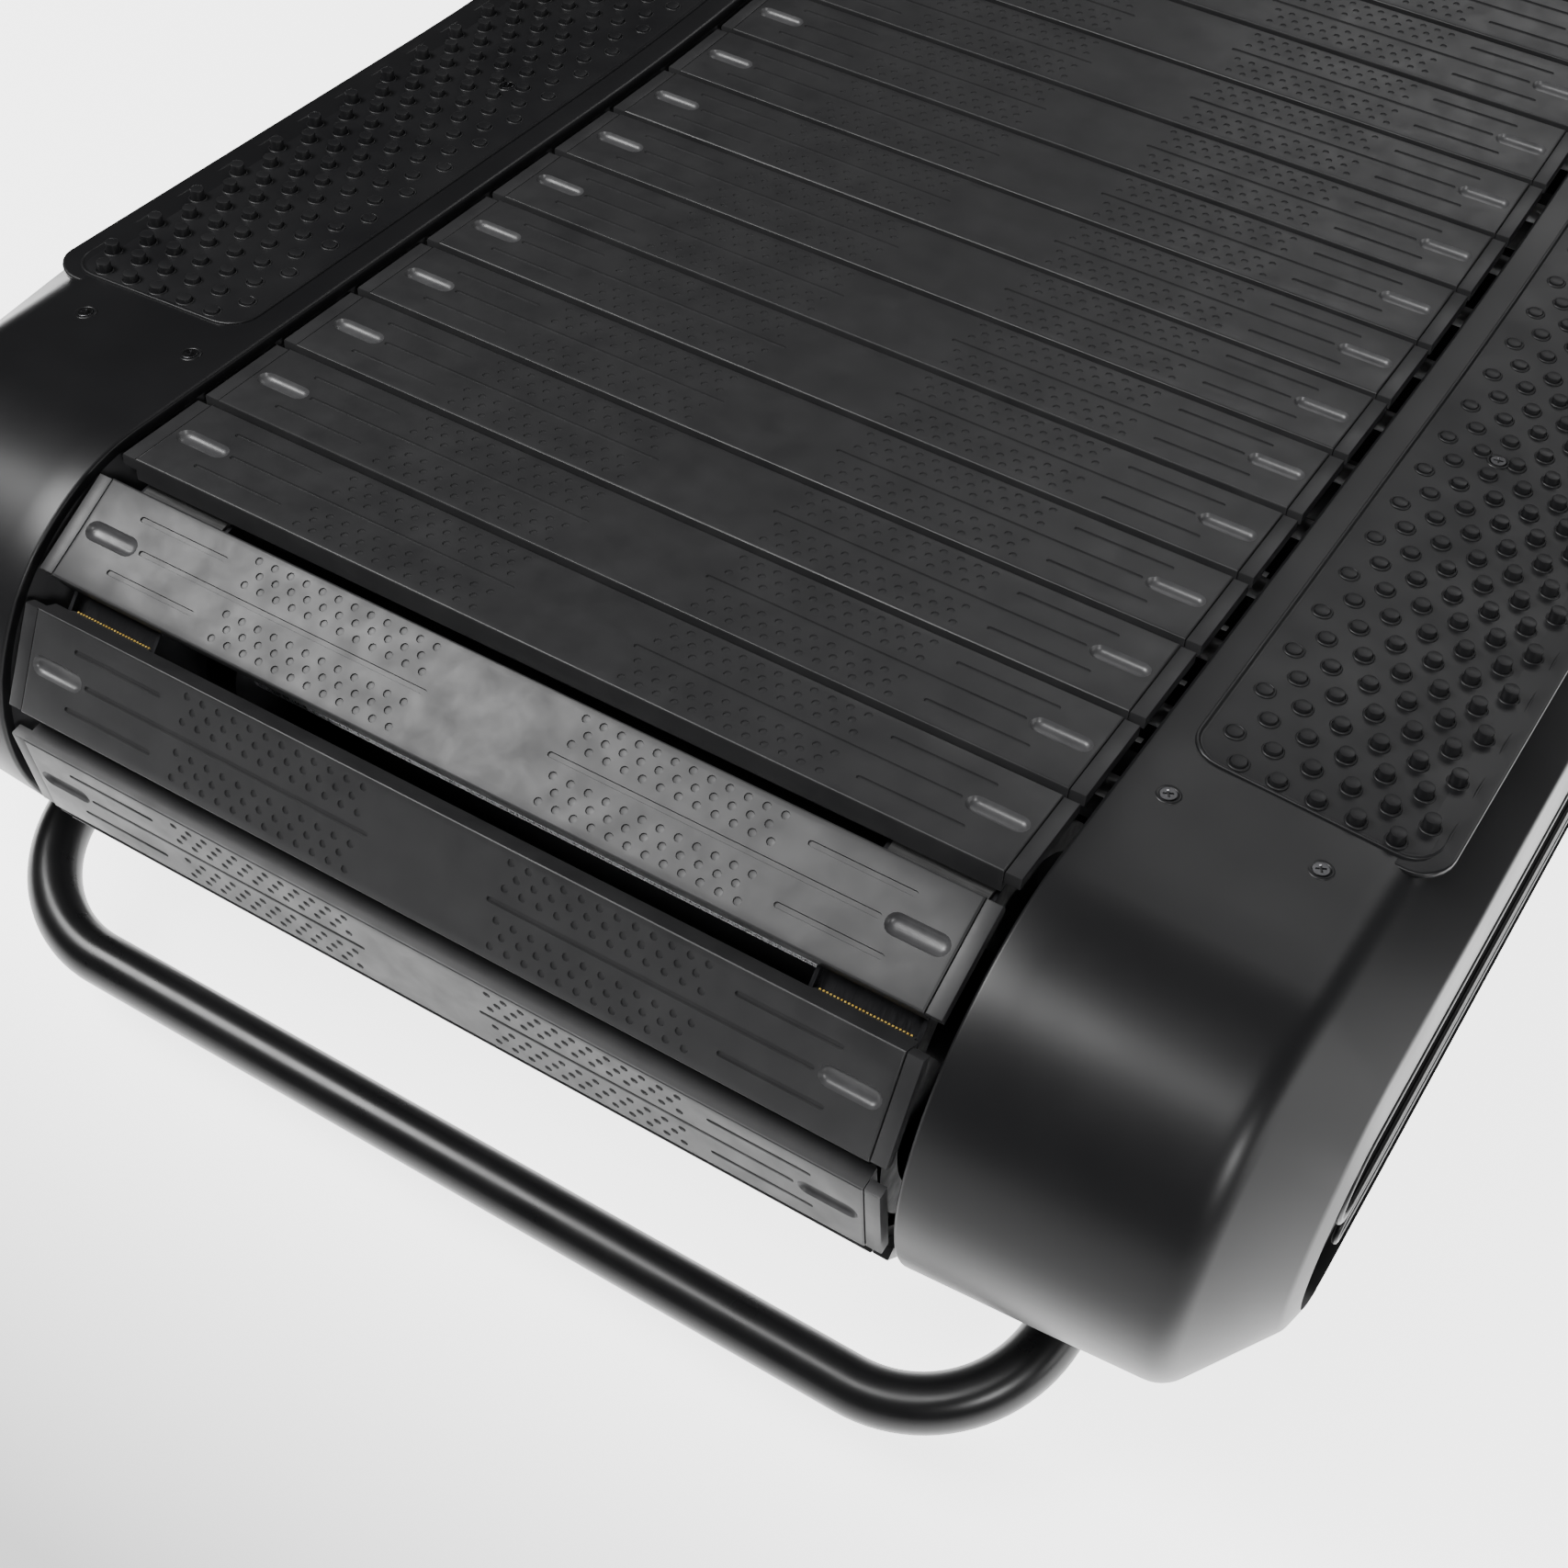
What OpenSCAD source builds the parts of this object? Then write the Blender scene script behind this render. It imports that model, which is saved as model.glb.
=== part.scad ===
// Curved manual slat-belt treadmill.
// Y points forward to the console, X to the runner's right, Z up. The floor is Z = 0.
// The belt loop is drawn in its own frame, with the rear roller axis at the origin, and then
// moved into place. Sizes are millimetres, slopes are degrees.

/* [Running surface] */
// Width of a slat between its end strips
slat_w = 480; // [380:1:560]
// Width of the narrow strip at each end of a slat
end_strip_w = 8.4; // [5:0.1:14]
// Gap between two slats on the level stretch
slat_gap = 4.6; // [2.5:0.1:8]
// Height of a slat from the belt's pitch line to its tread
slat_h = 18.5; // [15:0.5:26]
// Thickness of a slat's top plate
slat_plate_t = 6; // [4:0.5:8]
// Number of slats round the loop
slat_count = 62; // [56:1:66]
// Where the first slat behind the rear crest sits, along the loop
slat_phase = -51.4; // [-59:0.1:0]

/* [Deck curve] */
// Pitch radius of the rollers that the belts turn on
roller_r = 97.5; // [80:0.5:115]
// Length of the straight rear ramp
ramp_l = 400; // [300:5:600]
// Fall of the rear ramp towards the front
ramp_slope = 6.4; // [3:0.1:9]
// Radius of the concave deck, at the belts' pitch line
deck_r = 2018; // [1700:1:2400]
// Rise of the deck where it meets the front roller
front_slope = 25; // [18:0.5:30]

/* [Drive belts] */
// Width of each drive belt
belt_w = 50; // [30:1:60]
// Thickness of each drive belt
belt_t = 6; // [4:0.5:8]
// Distance from the slat's bare end to the middle of the drive belt
belt_inset = 29; // [26:0.5:40]

/* [Side covers] */
// Gap between the slat ends and a side cover
cover_gap = 6.7; // [4:0.1:12]
// Width of a side cover's top
cover_top_w = 125; // [100:1:160]
// Fall of the top from its inner edge to the crease
top_fall = 7; // [0:0.5:10]
// Width of the bevel outside the top
bevel_w = 31; // [20:1:40]
// Drop of the bevel
bevel_drop = 25.5; // [15:0.5:35]
// Width of the steep skirt under the bevel
skirt_w = 7; // [3:0.5:12]
// Drop of the skirt
skirt_drop = 32; // [20:1:40]
// Wall of the side cover
cover_t = 6; // [5:0.5:8]
// How far the cover's inner edge stands above the tread
cover_rise = 1; // [-4:0.5:2]
// Height of the recessed groove in the outer wall
groove_h = 38; // [20:1:45]
// Depth of the recessed groove
groove_d = 4; // [1:0.5:4.5]
// Width of the foot plate
plate_w = 115; // [80:1:118]
// Thickness of the foot plate
plate_t = 2.5; // [1.5:0.1:3]
// How deep the foot plate's seat is cut into the cover
plate_seat = 4; // [3:0.1:4.5]
// Radius of a cover screw's head
screw_head_r = 4.2; // [3:0.1:5]

/* [Frame] */
// Height of the rear roller's axis above the floor
axle_z = 218; // [210:1:260]
// Thickness of the side rail plates
rail_t = 6; // [4:0.5:10]
// Radius of the roller shafts
shaft_r = 15; // [10:0.5:20]
// Radius of a guide bearing
guide_r = 17.5; // [11:0.5:20]
// Width of a guide bearing
guide_w = 12; // [8:1:20]
// Radius of a guide bearing's bolt
guide_bolt_r = 6; // [4:0.5:8]
// Guide bearings under each side of the deck
guide_count = 24; // [16:1:28]
// Radius of the cross tubes
cross_r = 20; // [12:1:25]
// Wall of the round tubes
tube_wall = 2.5; // [1.5:0.1:4]

/* [Rear handle] */
// Radius of the handle's tube
handle_r = 15; // [11:0.5:19]
// Length of the straight bar between the bends
handle_bar_l = 477; // [400:1:520]
// Bend radius of the handle, at the tube's middle
handle_bend_r = 74.5; // [50:0.5:90]
// Distance of the bar behind the rear roller's axis
handle_back = 119.5; // [100:0.5:150]
// Distance of the bar below the rear roller's axis
handle_down = 162.5; // [150:0.5:175]
// Rise of the handle's legs
handle_tilt = 13.6; // [8:0.1:18]

/* [Base and uprights] */
// Width of a base rail
base_w = 50; // [40:1:60]
// Height of a base rail
base_h = 28; // [20:1:34]
// Height of the rubber feet
foot_h = 18; // [12:1:24]
// Radius of the rubber feet
foot_r = 22; // [15:1:25]
// Radius of a transport wheel
wheel_r = 28; // [20:1:32]
// Radius of the upright tubes
upright_r = 25; // [20:0.5:30]
// Height where the uprights start to lean back
upright_bend_z = 620; // [500:5:800]
// Lean of the uprights above the bend
upright_lean = 24; // [10:1:30]
// Length of the leaning masts
mast_l = 580; // [450:5:700]
// Radius of the handrail tubes
handrail_r = 17; // [13:0.5:20]
// Length of the level handrails, from the mast's middle
handrail_l = 400; // [300:5:480]

/* [Console] */
// Width of the console
console_w = 300; // [220:5:400]
// Height of the console
console_h = 190; // [140:5:260]
// Depth of the console
console_d = 44; // [34:1:70]

/* [Hidden] */
$fn = 96;

// Belt loop
seat = 0.05;
lap = 0.2;
belt_clear = 0.4;
ramp_n = [sin(ramp_slope), cos(ramp_slope)];
ramp_dir = [cos(ramp_slope), -sin(ramp_slope)];
ramp_start = roller_r * ramp_n;
deck_centre = ramp_start + ramp_l * ramp_dir + deck_r * ramp_n;
return_r = deck_r + 2 * roller_r;
front_axis = deck_centre + (deck_r + roller_r) * [sin(front_slope), -cos(front_slope)];
deck_angle = ramp_slope + front_slope;
arc_l = deck_r * deck_angle * PI / 180;
wrap_l = roller_r * PI;
return_arc_l = return_r * deck_angle * PI / 180;
top_l = ramp_l + arc_l;
loop_l = top_l + wrap_l + return_arc_l + ramp_l + wrap_l;
pitch = loop_l / slat_count;
slat_l = pitch - slat_gap;

// Across the machine
slat_end = slat_w / 2;
strip_end = slat_end + end_strip_w;
belt_x = slat_end - belt_inset;
cover_in = strip_end + cover_gap;
cover_crease = cover_in + cover_top_w;
bevel_out = cover_crease + bevel_w;
cover_out = bevel_out + skirt_w;
rail_in = cover_in + 3;
rail_out = rail_in + rail_t;
plate_edge = 18;
plate_in = cover_in + plate_edge;
plate_ends = [92, top_l - 90];

// Offsets from the pitch line, outward
cover_top = slat_h + cover_rise;
crease_top = cover_top - top_fall;
bevel_low = crease_top - bevel_drop;
skirt_low = bevel_low - skirt_drop;
rail_top = top_at(rail_out) - cover_t - 0.15;
belt_half = belt_t / 2;
pulley_r = roller_r - belt_half - belt_clear;
guide_off = -(belt_half + guide_r + 0.3);
cover_wrap = 164;
panel_gap = 0.1;
groove_top = skirt_low - 6;
groove_end = -18;
groove_end_steps = 12;

// Placing the loop on the floor, with the whole machine's middle at Y = 0
base_end = front_axis[0] + 205;
cap_t = 4;
rear_end = -(handle_back + handle_r);
loop_at = [0, -(base_end + cap_t + rear_end) / 2, axle_z];
base_x = handle_bar_l / 2 + handle_bend_r;
base_top = foot_h + base_h;
base_start = 60;
upright_y = base_end - 35;
stand_t = 8;
hub_r = 28;
bearing_w = 30;
bearing_size = 84;
fit_clear = 0.05;
front_z = axle_z + front_axis[1];
knuckle_seat = 32;
lean_dir = [-sin(upright_lean), cos(upright_lean)];
mast_top = [upright_y, upright_bend_z] + (knuckle_seat + mast_l) * lean_dir;
handrail_at = mast_top - 130 * lean_dir;
bar_at = mast_top - 30 * lean_dir;
bar_r = 19;
console_tilt = 28;
back_t = 8;
holder_x = base_x - upright_r - 62;
leg_l = 118;
rail_bend_r = 60;
rail_y = loop_at[1] + handrail_at[0];
bolt_r = 6;
wheel_at = [base_x - base_w / 2, loop_at[1] + base_end - 80, foot_h + 14];
wheel_w = 20;
wheel_side_gap = 3;

// Height of a side cover's top over the pitch line, at a distance across
function top_at(x) = cover_top - top_fall * (x - cover_in) / cover_top_w;

// Place and normal angle at a distance s along the loop: [y, z, angle]
function on_loop(s) =
    s < 0 ? on_loop(s + loop_l) :
    s < ramp_l ? concat(ramp_start + s * ramp_dir, [90 - ramp_slope]) :
    s < top_l ? on_arc(deck_r, (s - ramp_l) / deck_r * 180 / PI - ramp_slope, 90) :
    s < top_l + wrap_l ? on_roller(front_axis, 90 + front_slope, s - top_l) :
    s < top_l + wrap_l + return_arc_l ?
        on_arc(return_r, front_slope - (s - top_l - wrap_l) / return_r * 180 / PI, -90) :
    s < loop_l - wrap_l ?
        concat(-ramp_start + (loop_l - wrap_l - s) * ramp_dir, [-90 - ramp_slope]) :
    on_roller([0, 0], 270 - ramp_slope, s - loop_l + wrap_l);
function on_arc(r, slope, turned) =
    concat(deck_centre + r * [sin(slope), -cos(slope)], [slope + turned]);
function on_roller(axis, first, s) =
    let (a = first - s / roller_r * 180 / PI)
    concat(axis + roller_r * [cos(a), sin(a)], [a]);
// A point off the deck's front end, carried on past it as far as the groove goes behind
function on_deck_end(off) =
    deck_centre + (deck_r - off) * [sin(front_slope), -cos(front_slope)]
    - groove_end * [cos(front_slope), sin(front_slope)];
function slat_s(i) =
    let (s = slat_phase + i * pitch)
    s < 0 ? s + loop_l : s;
function stretch(s) =
    s < top_l ? 0 : s < top_l + wrap_l ? 1 : s < loop_l - wrap_l ? 2 : 3;
function slats_on(k) = [for (i = [0:slat_count - 1]) if (stretch(slat_s(i)) == k) slat_s(i)];
function arc_points(centre, r, from, to, steps) =
    [for (k = [0:steps]) let (a = from + (to - from) * k / steps) centre + r * [cos(a), sin(a)]];
function band(off, steps = 30) = concat(
    arc_points([0, 0], roller_r + off, 270 - ramp_slope, 90 - ramp_slope, 45),
    arc_points(deck_centre, deck_r - off, -90 - ramp_slope, front_slope - 90, steps),
    arc_points(front_axis, roller_r + off, 90 + front_slope, front_slope - 90, 45),
    arc_points(deck_centre, return_r + off, front_slope - 90, -90 - ramp_slope, steps)
);

module in_place() {
    translate(loop_at) children();
}

// Puts children at a place on the loop: X across, Y along the travel, Z outward
module at_loop(s) {
    p = on_loop(s);
    translate([0, p[0], p[1]]) rotate([p[2] - 90, 0, 0]) children();
}

// A YZ outline extruded along X
module across(x, w) {
    translate([x, 0, 0]) rotate([90, 0, 90]) linear_extrude(w) children();
}

// Turns a section drawn as [outward offset, X] round an axis, from one angle to another
module turned(centre, r, from, to, inward) {
    translate([0, centre[0], centre[1]])
        rotate([90, 0, 90])
            rotate([0, 0, from])
                rotate_extrude(angle = to - from, $fn = 180)
                    translate([r, 0]) flipped(inward) children();
}

module flipped(inward) {
    mirror([inward ? 1 : 0, 0]) children();
}

// Carries a section straight along the ramp
module along_ramp(length, start) {
    origin = ramp_start + start * ramp_dir;
    multmatrix([
        [0, 1, 0, 0],
        [ramp_n[0], 0, ramp_dir[0], origin[0]],
        [ramp_n[1], 0, ramp_dir[1], origin[1]]
    ])
        linear_extrude(length) children();
}

// Over the deck only, between two distances along it
module over_deck(from, to) {
    along_ramp(ramp_l - from + lap, from) children();
    turned(
        deck_centre, deck_r, -90 - ramp_slope, (to - ramp_l) / deck_r * 180 / PI - 90 - ramp_slope,
        true
    ) children();
}

module tube(length, r, wall) {
    difference() {
        cylinder(h = length, r = r);
        translate([0, 0, -1]) cylinder(h = length + 2, r = r - wall);
    }
}

module bend(bend_r, r, wall, angle) {
    rotate_extrude(angle = angle)
        translate([bend_r, 0])
            difference() {
                circle(r);
                circle(r - wall);
            }
}

module both_sides() {
    children();
    mirror([1, 0, 0]) children();
}

// ---- Side covers ----

module cover_section() {
    corner_in = 4;
    polygon([
        [cover_top - cover_t, cover_in],
        [cover_top, cover_in],
        [crease_top, cover_crease],
        [bevel_low, bevel_out],
        [skirt_low, cover_out],
        [skirt_low, cover_out - cover_t],
        [bevel_low - corner_in / 2, bevel_out - cover_t],
        [crease_top - cover_t, cover_crease - corner_in]
    ]);
}

module cover_shell() {
    turned([0, 0], roller_r, 90 - ramp_slope, 90 - ramp_slope + cover_wrap, false) cover_section();
    over_deck(panel_gap, top_l - panel_gap) cover_section();
    turned(front_axis, roller_r, front_slope + 90 - cover_wrap, front_slope + 90, false)
        cover_section();
}

// A strip that follows the deck at two offsets, with round ends
module deck_strip(high, low) {
    r = (high - low) / 2;
    rear = ramp_start + groove_end * ramp_dir + (high + low) / 2 * ramp_n;
    polygon(concat(
        arc_points(rear, r, 270 - ramp_slope, 90 - ramp_slope, groove_end_steps),
        arc_points(deck_centre, deck_r - high, -90 - ramp_slope, front_slope - 90, 30),
        arc_points(on_deck_end((high + low) / 2), r, 90 + front_slope, front_slope - 90, groove_end_steps),
        arc_points(deck_centre, deck_r - low, front_slope - 90, -90 - ramp_slope, 30)
    ));
}

// The flat panel that closes the outer side, standing inside the shell's rim
module side_panel() {
    in_place()
        difference() {
            across(cover_out - cover_t, cover_t) polygon(band(skirt_low - panel_gap));
            across(cover_out - groove_d, groove_d + 1)
                deck_strip(groove_top, groove_top - groove_h);
        }
}

module side_cover() {
    in_place()
        difference() {
            cover_shell();
            over_deck(plate_ends[0], plate_ends[1]) plate_section(0, plate_seat + top_fall);
        }
}

module side_panel_right() {
    color([0.06, 0.06, 0.065]) side_panel();
}

module side_panel_left() {
    color([0.06, 0.06, 0.065]) mirror([1, 0, 0]) side_panel();
}

module side_cover_right() {
    color([0.06, 0.06, 0.065]) side_cover();
}

module side_cover_left() {
    color([0.06, 0.06, 0.065]) mirror([1, 0, 0]) side_cover();
}

// Section of the foot plate or of its seat, on the cover's sloping top
module plate_section(side_gap, t) {
    from = plate_in + side_gap;
    to = plate_in + plate_w - side_gap;
    polygon([
        [top_at(from) - plate_seat, from],
        [top_at(to) - plate_seat, to],
        [top_at(to) - plate_seat + t, to],
        [top_at(from) - plate_seat + t, from]
    ]);
}

module foot_plate() {
    side_gap = 0.4;
    in_place()
        over_deck(plate_ends[0] + side_gap, plate_ends[1] - side_gap)
            plate_section(side_gap, plate_t);
}

module foot_plate_right() {
    color([0.09, 0.09, 0.095]) foot_plate();
}

module foot_plate_left() {
    color([0.09, 0.09, 0.095]) mirror([1, 0, 0]) foot_plate();
}

module cover_screws() {
    head_h = 1.2;
    rows = [58, top_l - 56];
    color([0.2, 0.2, 0.2])
        in_place()
            both_sides()
                for (s = rows, x = [cover_in + 22.4, cover_in + 94.6])
                    at_loop(s)
                        translate([x, 0, top_at(x) + seat])
                            rotate([0, atan(top_fall / cover_top_w), 0])
                                cylinder(h = head_h, r = screw_head_r);
}

module front_shroud() {
    shroud_gap = 7;
    shroud_t = 4;
    inner_r = roller_r + slat_h + shroud_gap;
    leg_w = 12;
    leg_in = cover_in + 2;
    seat_r = roller_r + cover_top + seat;
    half = leg_in + leg_w;
    color([0.06, 0.06, 0.065])
        in_place()
            turned(front_axis, 0, front_slope - 62, front_slope + 62, false)
                difference() {
                    translate([seat_r, -half]) square([inner_r + shroud_t - seat_r, 2 * half]);
                    translate([seat_r - 1, -leg_in]) square([inner_r - seat_r + 1, 2 * leg_in]);
                }
}

// ---- Frame ----

module side_rail() {
    in_place()
        difference() {
            across(rail_in, rail_t) polygon(band(rail_top));
            across(rail_in - 1, rail_t + 2) circle(shaft_r + 6);
            translate([0, front_axis[0], front_axis[1]])
                across(rail_in - 1, rail_t + 2) circle(shaft_r + 6);
            for (s = guide_places())
                at_loop(s)
                    translate([rail_in - 1, 0, guide_off])
                        rotate([0, 90, 0]) cylinder(h = rail_t + 2, r = guide_bolt_r);
        }
}

// Places of the guide bearings, the first and last clear of the pulleys
function guide_places() =
    let (inset = 92)
    [for (k = [0:guide_count - 1]) inset + k * (top_l - 2 * inset) / (guide_count - 1)];

module side_rail_right() {
    color([0.12, 0.12, 0.13]) side_rail();
}

module side_rail_left() {
    color([0.12, 0.12, 0.13]) mirror([1, 0, 0]) side_rail();
}

module cross_tubes() {
    cross_inset = 170;
    color([0.12, 0.12, 0.13])
        in_place()
            for (k = [0:4])
                at_loop(cross_inset + k * (top_l - 2 * cross_inset) / 4)
                    translate([-rail_in, 0, -roller_r])
                        rotate([0, 90, 0]) tube(2 * rail_in, cross_r, tube_wall);
}

module guide_bearings() {
    in_place()
        for (s = guide_places())
            at_loop(s)
                translate([belt_x - guide_w / 2, 0, guide_off])
                    rotate([0, 90, 0])
                        difference() {
                            cylinder(h = guide_w, r = guide_r, $fn = 48);
                            translate([0, 0, -1])
                                cylinder(h = guide_w + 2, r = guide_bolt_r + fit_clear, $fn = 48);
                        }
}

module guide_bearings_right() {
    color([0.75, 0.75, 0.77]) guide_bearings();
}

module guide_bearings_left() {
    color([0.75, 0.75, 0.77]) mirror([1, 0, 0]) guide_bearings();
}

module guide_bolts() {
    start = belt_x - guide_w / 2 - 3;
    nut_h = 8;
    in_place()
        for (s = guide_places())
            at_loop(s)
                translate([start, 0, guide_off])
                    rotate([0, 90, 0]) {
                        cylinder(h = rail_out - start, r = guide_bolt_r, $fn = 48);
                        translate([0, 0, rail_out - start])
                            cylinder(h = nut_h, r = guide_bolt_r * 1.8, $fn = 6);
                    }
}

module guide_bolts_right() {
    color([0.6, 0.6, 0.62]) guide_bolts();
}

module guide_bolts_left() {
    color([0.6, 0.6, 0.62]) mirror([1, 0, 0]) guide_bolts();
}

// ---- Rollers ----

module shaft_at(axis) {
    half = rail_out + bearing_w - 2;
    in_place()
        translate([-half, axis[0], axis[1]])
            rotate([0, 90, 0]) cylinder(h = 2 * half, r = shaft_r);
}

module pulley_at(axis) {
    flange_t = 2;
    flange_r = roller_r + belt_half - 1.5;
    half = belt_w / 2 + 0.5;
    in_place()
        translate([belt_x, axis[0], axis[1]])
            rotate([0, 90, 0])
                difference() {
                    union() {
                        translate([0, 0, -half]) cylinder(h = 2 * half, r = pulley_r, $fn = 180);
                        for (z = [-half - flange_t, half])
                            translate([0, 0, z]) cylinder(h = flange_t, r = flange_r, $fn = 180);
                    }
                    translate([0, 0, -50]) cylinder(h = 100, r = shaft_r);
                    for (z = [-half - flange_t - 1, 8])
                        translate([0, 0, z])
                            difference() {
                                cylinder(h = half - 5, r = pulley_r - 10);
                                cylinder(h = half - 5, r = hub_r);
                            }
                }
}

module bearings_at(axis) {
    in_place()
        both_sides()
            translate([rail_out, axis[0], axis[1]])
                difference() {
                    translate([0, -bearing_size / 2, -bearing_size / 2])
                        cube([bearing_w, bearing_size, bearing_size]);
                    translate([-1, 0, 0])
                        rotate([0, 90, 0]) cylinder(h = bearing_w + 2, r = shaft_r + fit_clear);
                }
}

module rear_shaft() {
    color([0.7, 0.7, 0.72]) shaft_at([0, 0]);
}

module rear_pulley_right() {
    color([0.5, 0.5, 0.52]) pulley_at([0, 0]);
}

module rear_pulley_left() {
    color([0.5, 0.5, 0.52]) mirror([1, 0, 0]) pulley_at([0, 0]);
}

module rear_bearings() {
    color([0.25, 0.25, 0.27]) bearings_at([0, 0]);
}

module front_shaft() {
    color([0.7, 0.7, 0.72]) shaft_at(front_axis);
}

module front_pulley_right() {
    color([0.5, 0.5, 0.52]) pulley_at(front_axis);
}

module front_pulley_left() {
    color([0.5, 0.5, 0.52]) mirror([1, 0, 0]) pulley_at(front_axis);
}

module front_bearings() {
    color([0.25, 0.25, 0.27]) bearings_at(front_axis);
}

// ---- Belt and slats ----

module drive_belt() {
    fine = 90;
    in_place()
        across(belt_x - belt_w / 2, belt_w)
            difference() {
                polygon(band(belt_half, fine));
                polygon(band(-belt_half, fine));
            }
}

module drive_belt_right() {
    color([0.1, 0.1, 0.1]) drive_belt();
}

module drive_belt_left() {
    color([0.1, 0.1, 0.1]) mirror([1, 0, 0]) drive_belt();
}

module slat() {
    foot_l = 20;
    rib_t = 5;
    under = slat_h - slat_plate_t;
    translate([-slat_end, -slat_l / 2, under]) cube([slat_w, slat_l, slat_plate_t]);
    translate([-slat_end, -rib_t / 2, belt_half + seat])
        cube([slat_w, rib_t, under - belt_half - seat]);
    for (x = [-belt_x, belt_x])
        translate([x - belt_w / 2, -foot_l / 2, belt_half + seat])
            cube([belt_w, foot_l, under - belt_half - seat]);
}

module slats(k) {
    color([0.1, 0.1, 0.105]) in_place() for (s = slats_on(k)) at_loop(s) slat();
}

module slats_deck() {
    slats(0);
}

module slats_front_turn() {
    slats(1);
}

module slats_return() {
    slats(2);
}

module slats_rear_turn() {
    slats(3);
}

module end_strips() {
    step_down = 0.5;
    color([0.1, 0.1, 0.105])
        in_place()
            for (i = [0:slat_count - 1])
                at_loop(slat_s(i))
                    translate([slat_end, -slat_l / 2, slat_h - slat_plate_t])
                        cube([end_strip_w, slat_l, slat_plate_t - step_down]);
}

module end_strips_right() {
    end_strips();
}

module end_strips_left() {
    mirror([1, 0, 0]) end_strips();
}

// ---- Rear handle ----

// The handle's plane: X across, Y forward and up along the legs, from the bar's middle
module handle_plane() {
    in_place() translate([0, -handle_back, -handle_down]) rotate([handle_tilt, 0, 0]) children();
}

module rear_handle() {
    half = handle_bar_l / 2;
    color([0.05, 0.05, 0.055])
        handle_plane() {
            translate([-half, 0, 0]) rotate([0, 90, 0]) tube(2 * half, handle_r, tube_wall);
            for (side = [0, 1])
                mirror([side, 0, 0]) {
                    translate([half, handle_bend_r, 0])
                        rotate([0, 0, -90]) bend(handle_bend_r, handle_r, tube_wall, 90);
                    translate([half + handle_bend_r, handle_bend_r, 0])
                        rotate([-90, 0, 0]) tube(leg_l + 30, handle_r, tube_wall);
                }
        }
}

module handle_sockets() {
    socket_l = 44;
    half_h = 22;
    outer = 24;
    color([0.12, 0.12, 0.13])
        both_sides()
            handle_plane()
                difference() {
                    translate([rail_out, handle_bend_r + leg_l, -half_h])
                        cube([base_x + outer - rail_out, socket_l, 2 * half_h]);
                    translate([base_x, handle_bend_r + leg_l - 1, 0])
                        rotate([-90, 0, 0]) cylinder(h = socket_l + 2, r = handle_r);
                }
}

// ---- Base ----

module base_rail() {
    wall = 3;
    end_y = base_end - base_start;
    translate([base_x - base_w / 2, loop_at[1] + base_start, foot_h])
        difference() {
            cube([base_w, end_y, base_h]);
            translate([wall, -1, wall]) cube([base_w - 2 * wall, end_y + 2, base_h - 2 * wall]);
            translate([-1, end_y - (base_end + loop_at[1] - wheel_at[1]), wheel_at[2] - foot_h])
                rotate([0, 90, 0]) cylinder(h = base_w + 2, r = bolt_r);
        }
}

module base_rail_right() {
    color([0.12, 0.12, 0.13]) base_rail();
}

module base_rail_left() {
    color([0.12, 0.12, 0.13]) mirror([1, 0, 0]) base_rail();
}

module base_cross_tubes() {
    inner = base_x - base_w / 2;
    w = 40;
    wall = 2.5;
    color([0.12, 0.12, 0.13])
        for (y = [base_start + 30, front_axis[0] + 20])
            translate([-inner, loop_at[1] + y, foot_h + 2])
                difference() {
                    cube([2 * inner, w, base_h - 4]);
                    translate([-1, wall, wall])
                        cube([2 * inner + 2, w - 2 * wall, base_h - 4 - 2 * wall]);
                }
}

// An angle bracket from a base rail up to the side rail
module stand(y, w, top) {
    translate([rail_out, loop_at[1] + y, base_top]) {
        cube([stand_t, w, top - base_top]);
        cube([base_x + base_w / 2 - rail_out, w, stand_t]);
    }
}

module rear_stands() {
    color([0.12, 0.12, 0.13]) both_sides() stand(130, 90, axle_z - 20);
}

module front_stands() {
    color([0.12, 0.12, 0.13]) both_sides() stand(front_axis[0] - 50, 110, front_z - 60);
}

module rubber_feet() {
    color([0.03, 0.03, 0.03])
        both_sides()
            for (y = [base_start + 40, front_axis[0] / 2, base_end - 40])
                translate([base_x, loop_at[1] + y, 0])
                    cylinder(h = foot_h, r1 = foot_r - 2, r2 = foot_r);
}

module wheel() {
    translate([wheel_at[0] - wheel_side_gap - wheel_w, wheel_at[1], wheel_at[2]])
        rotate([0, 90, 0])
            difference() {
                cylinder(h = wheel_w, r = wheel_r);
                translate([0, 0, -1]) cylinder(h = wheel_w + 2, r = bolt_r + fit_clear);
            }
}

module wheel_right() {
    color([0.08, 0.08, 0.08]) wheel();
}

module wheel_left() {
    color([0.08, 0.08, 0.08]) mirror([1, 0, 0]) wheel();
}

module wheel_bolts() {
    head_h = 6;
    head_r = 10;
    reach = wheel_w + 2 * wheel_side_gap;
    color([0.6, 0.6, 0.62])
        both_sides()
            translate([wheel_at[0] - reach, wheel_at[1], wheel_at[2]])
                rotate([0, 90, 0]) {
                    cylinder(h = reach + base_w, r = bolt_r);
                    translate([0, 0, -head_h]) cylinder(h = head_h, r = head_r);
                    translate([0, 0, reach + base_w]) cylinder(h = head_h, r = head_r, $fn = 6);
                }
}

// ---- Uprights, handrails and console ----

module upright() {
    translate([base_x, loop_at[1] + upright_y, base_top])
        tube(upright_bend_z - knuckle_seat - base_top, upright_r, tube_wall);
}

module mast() {
    mast_frame() translate([0, 0, knuckle_seat]) tube(mast_l, upright_r, tube_wall);
}

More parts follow.
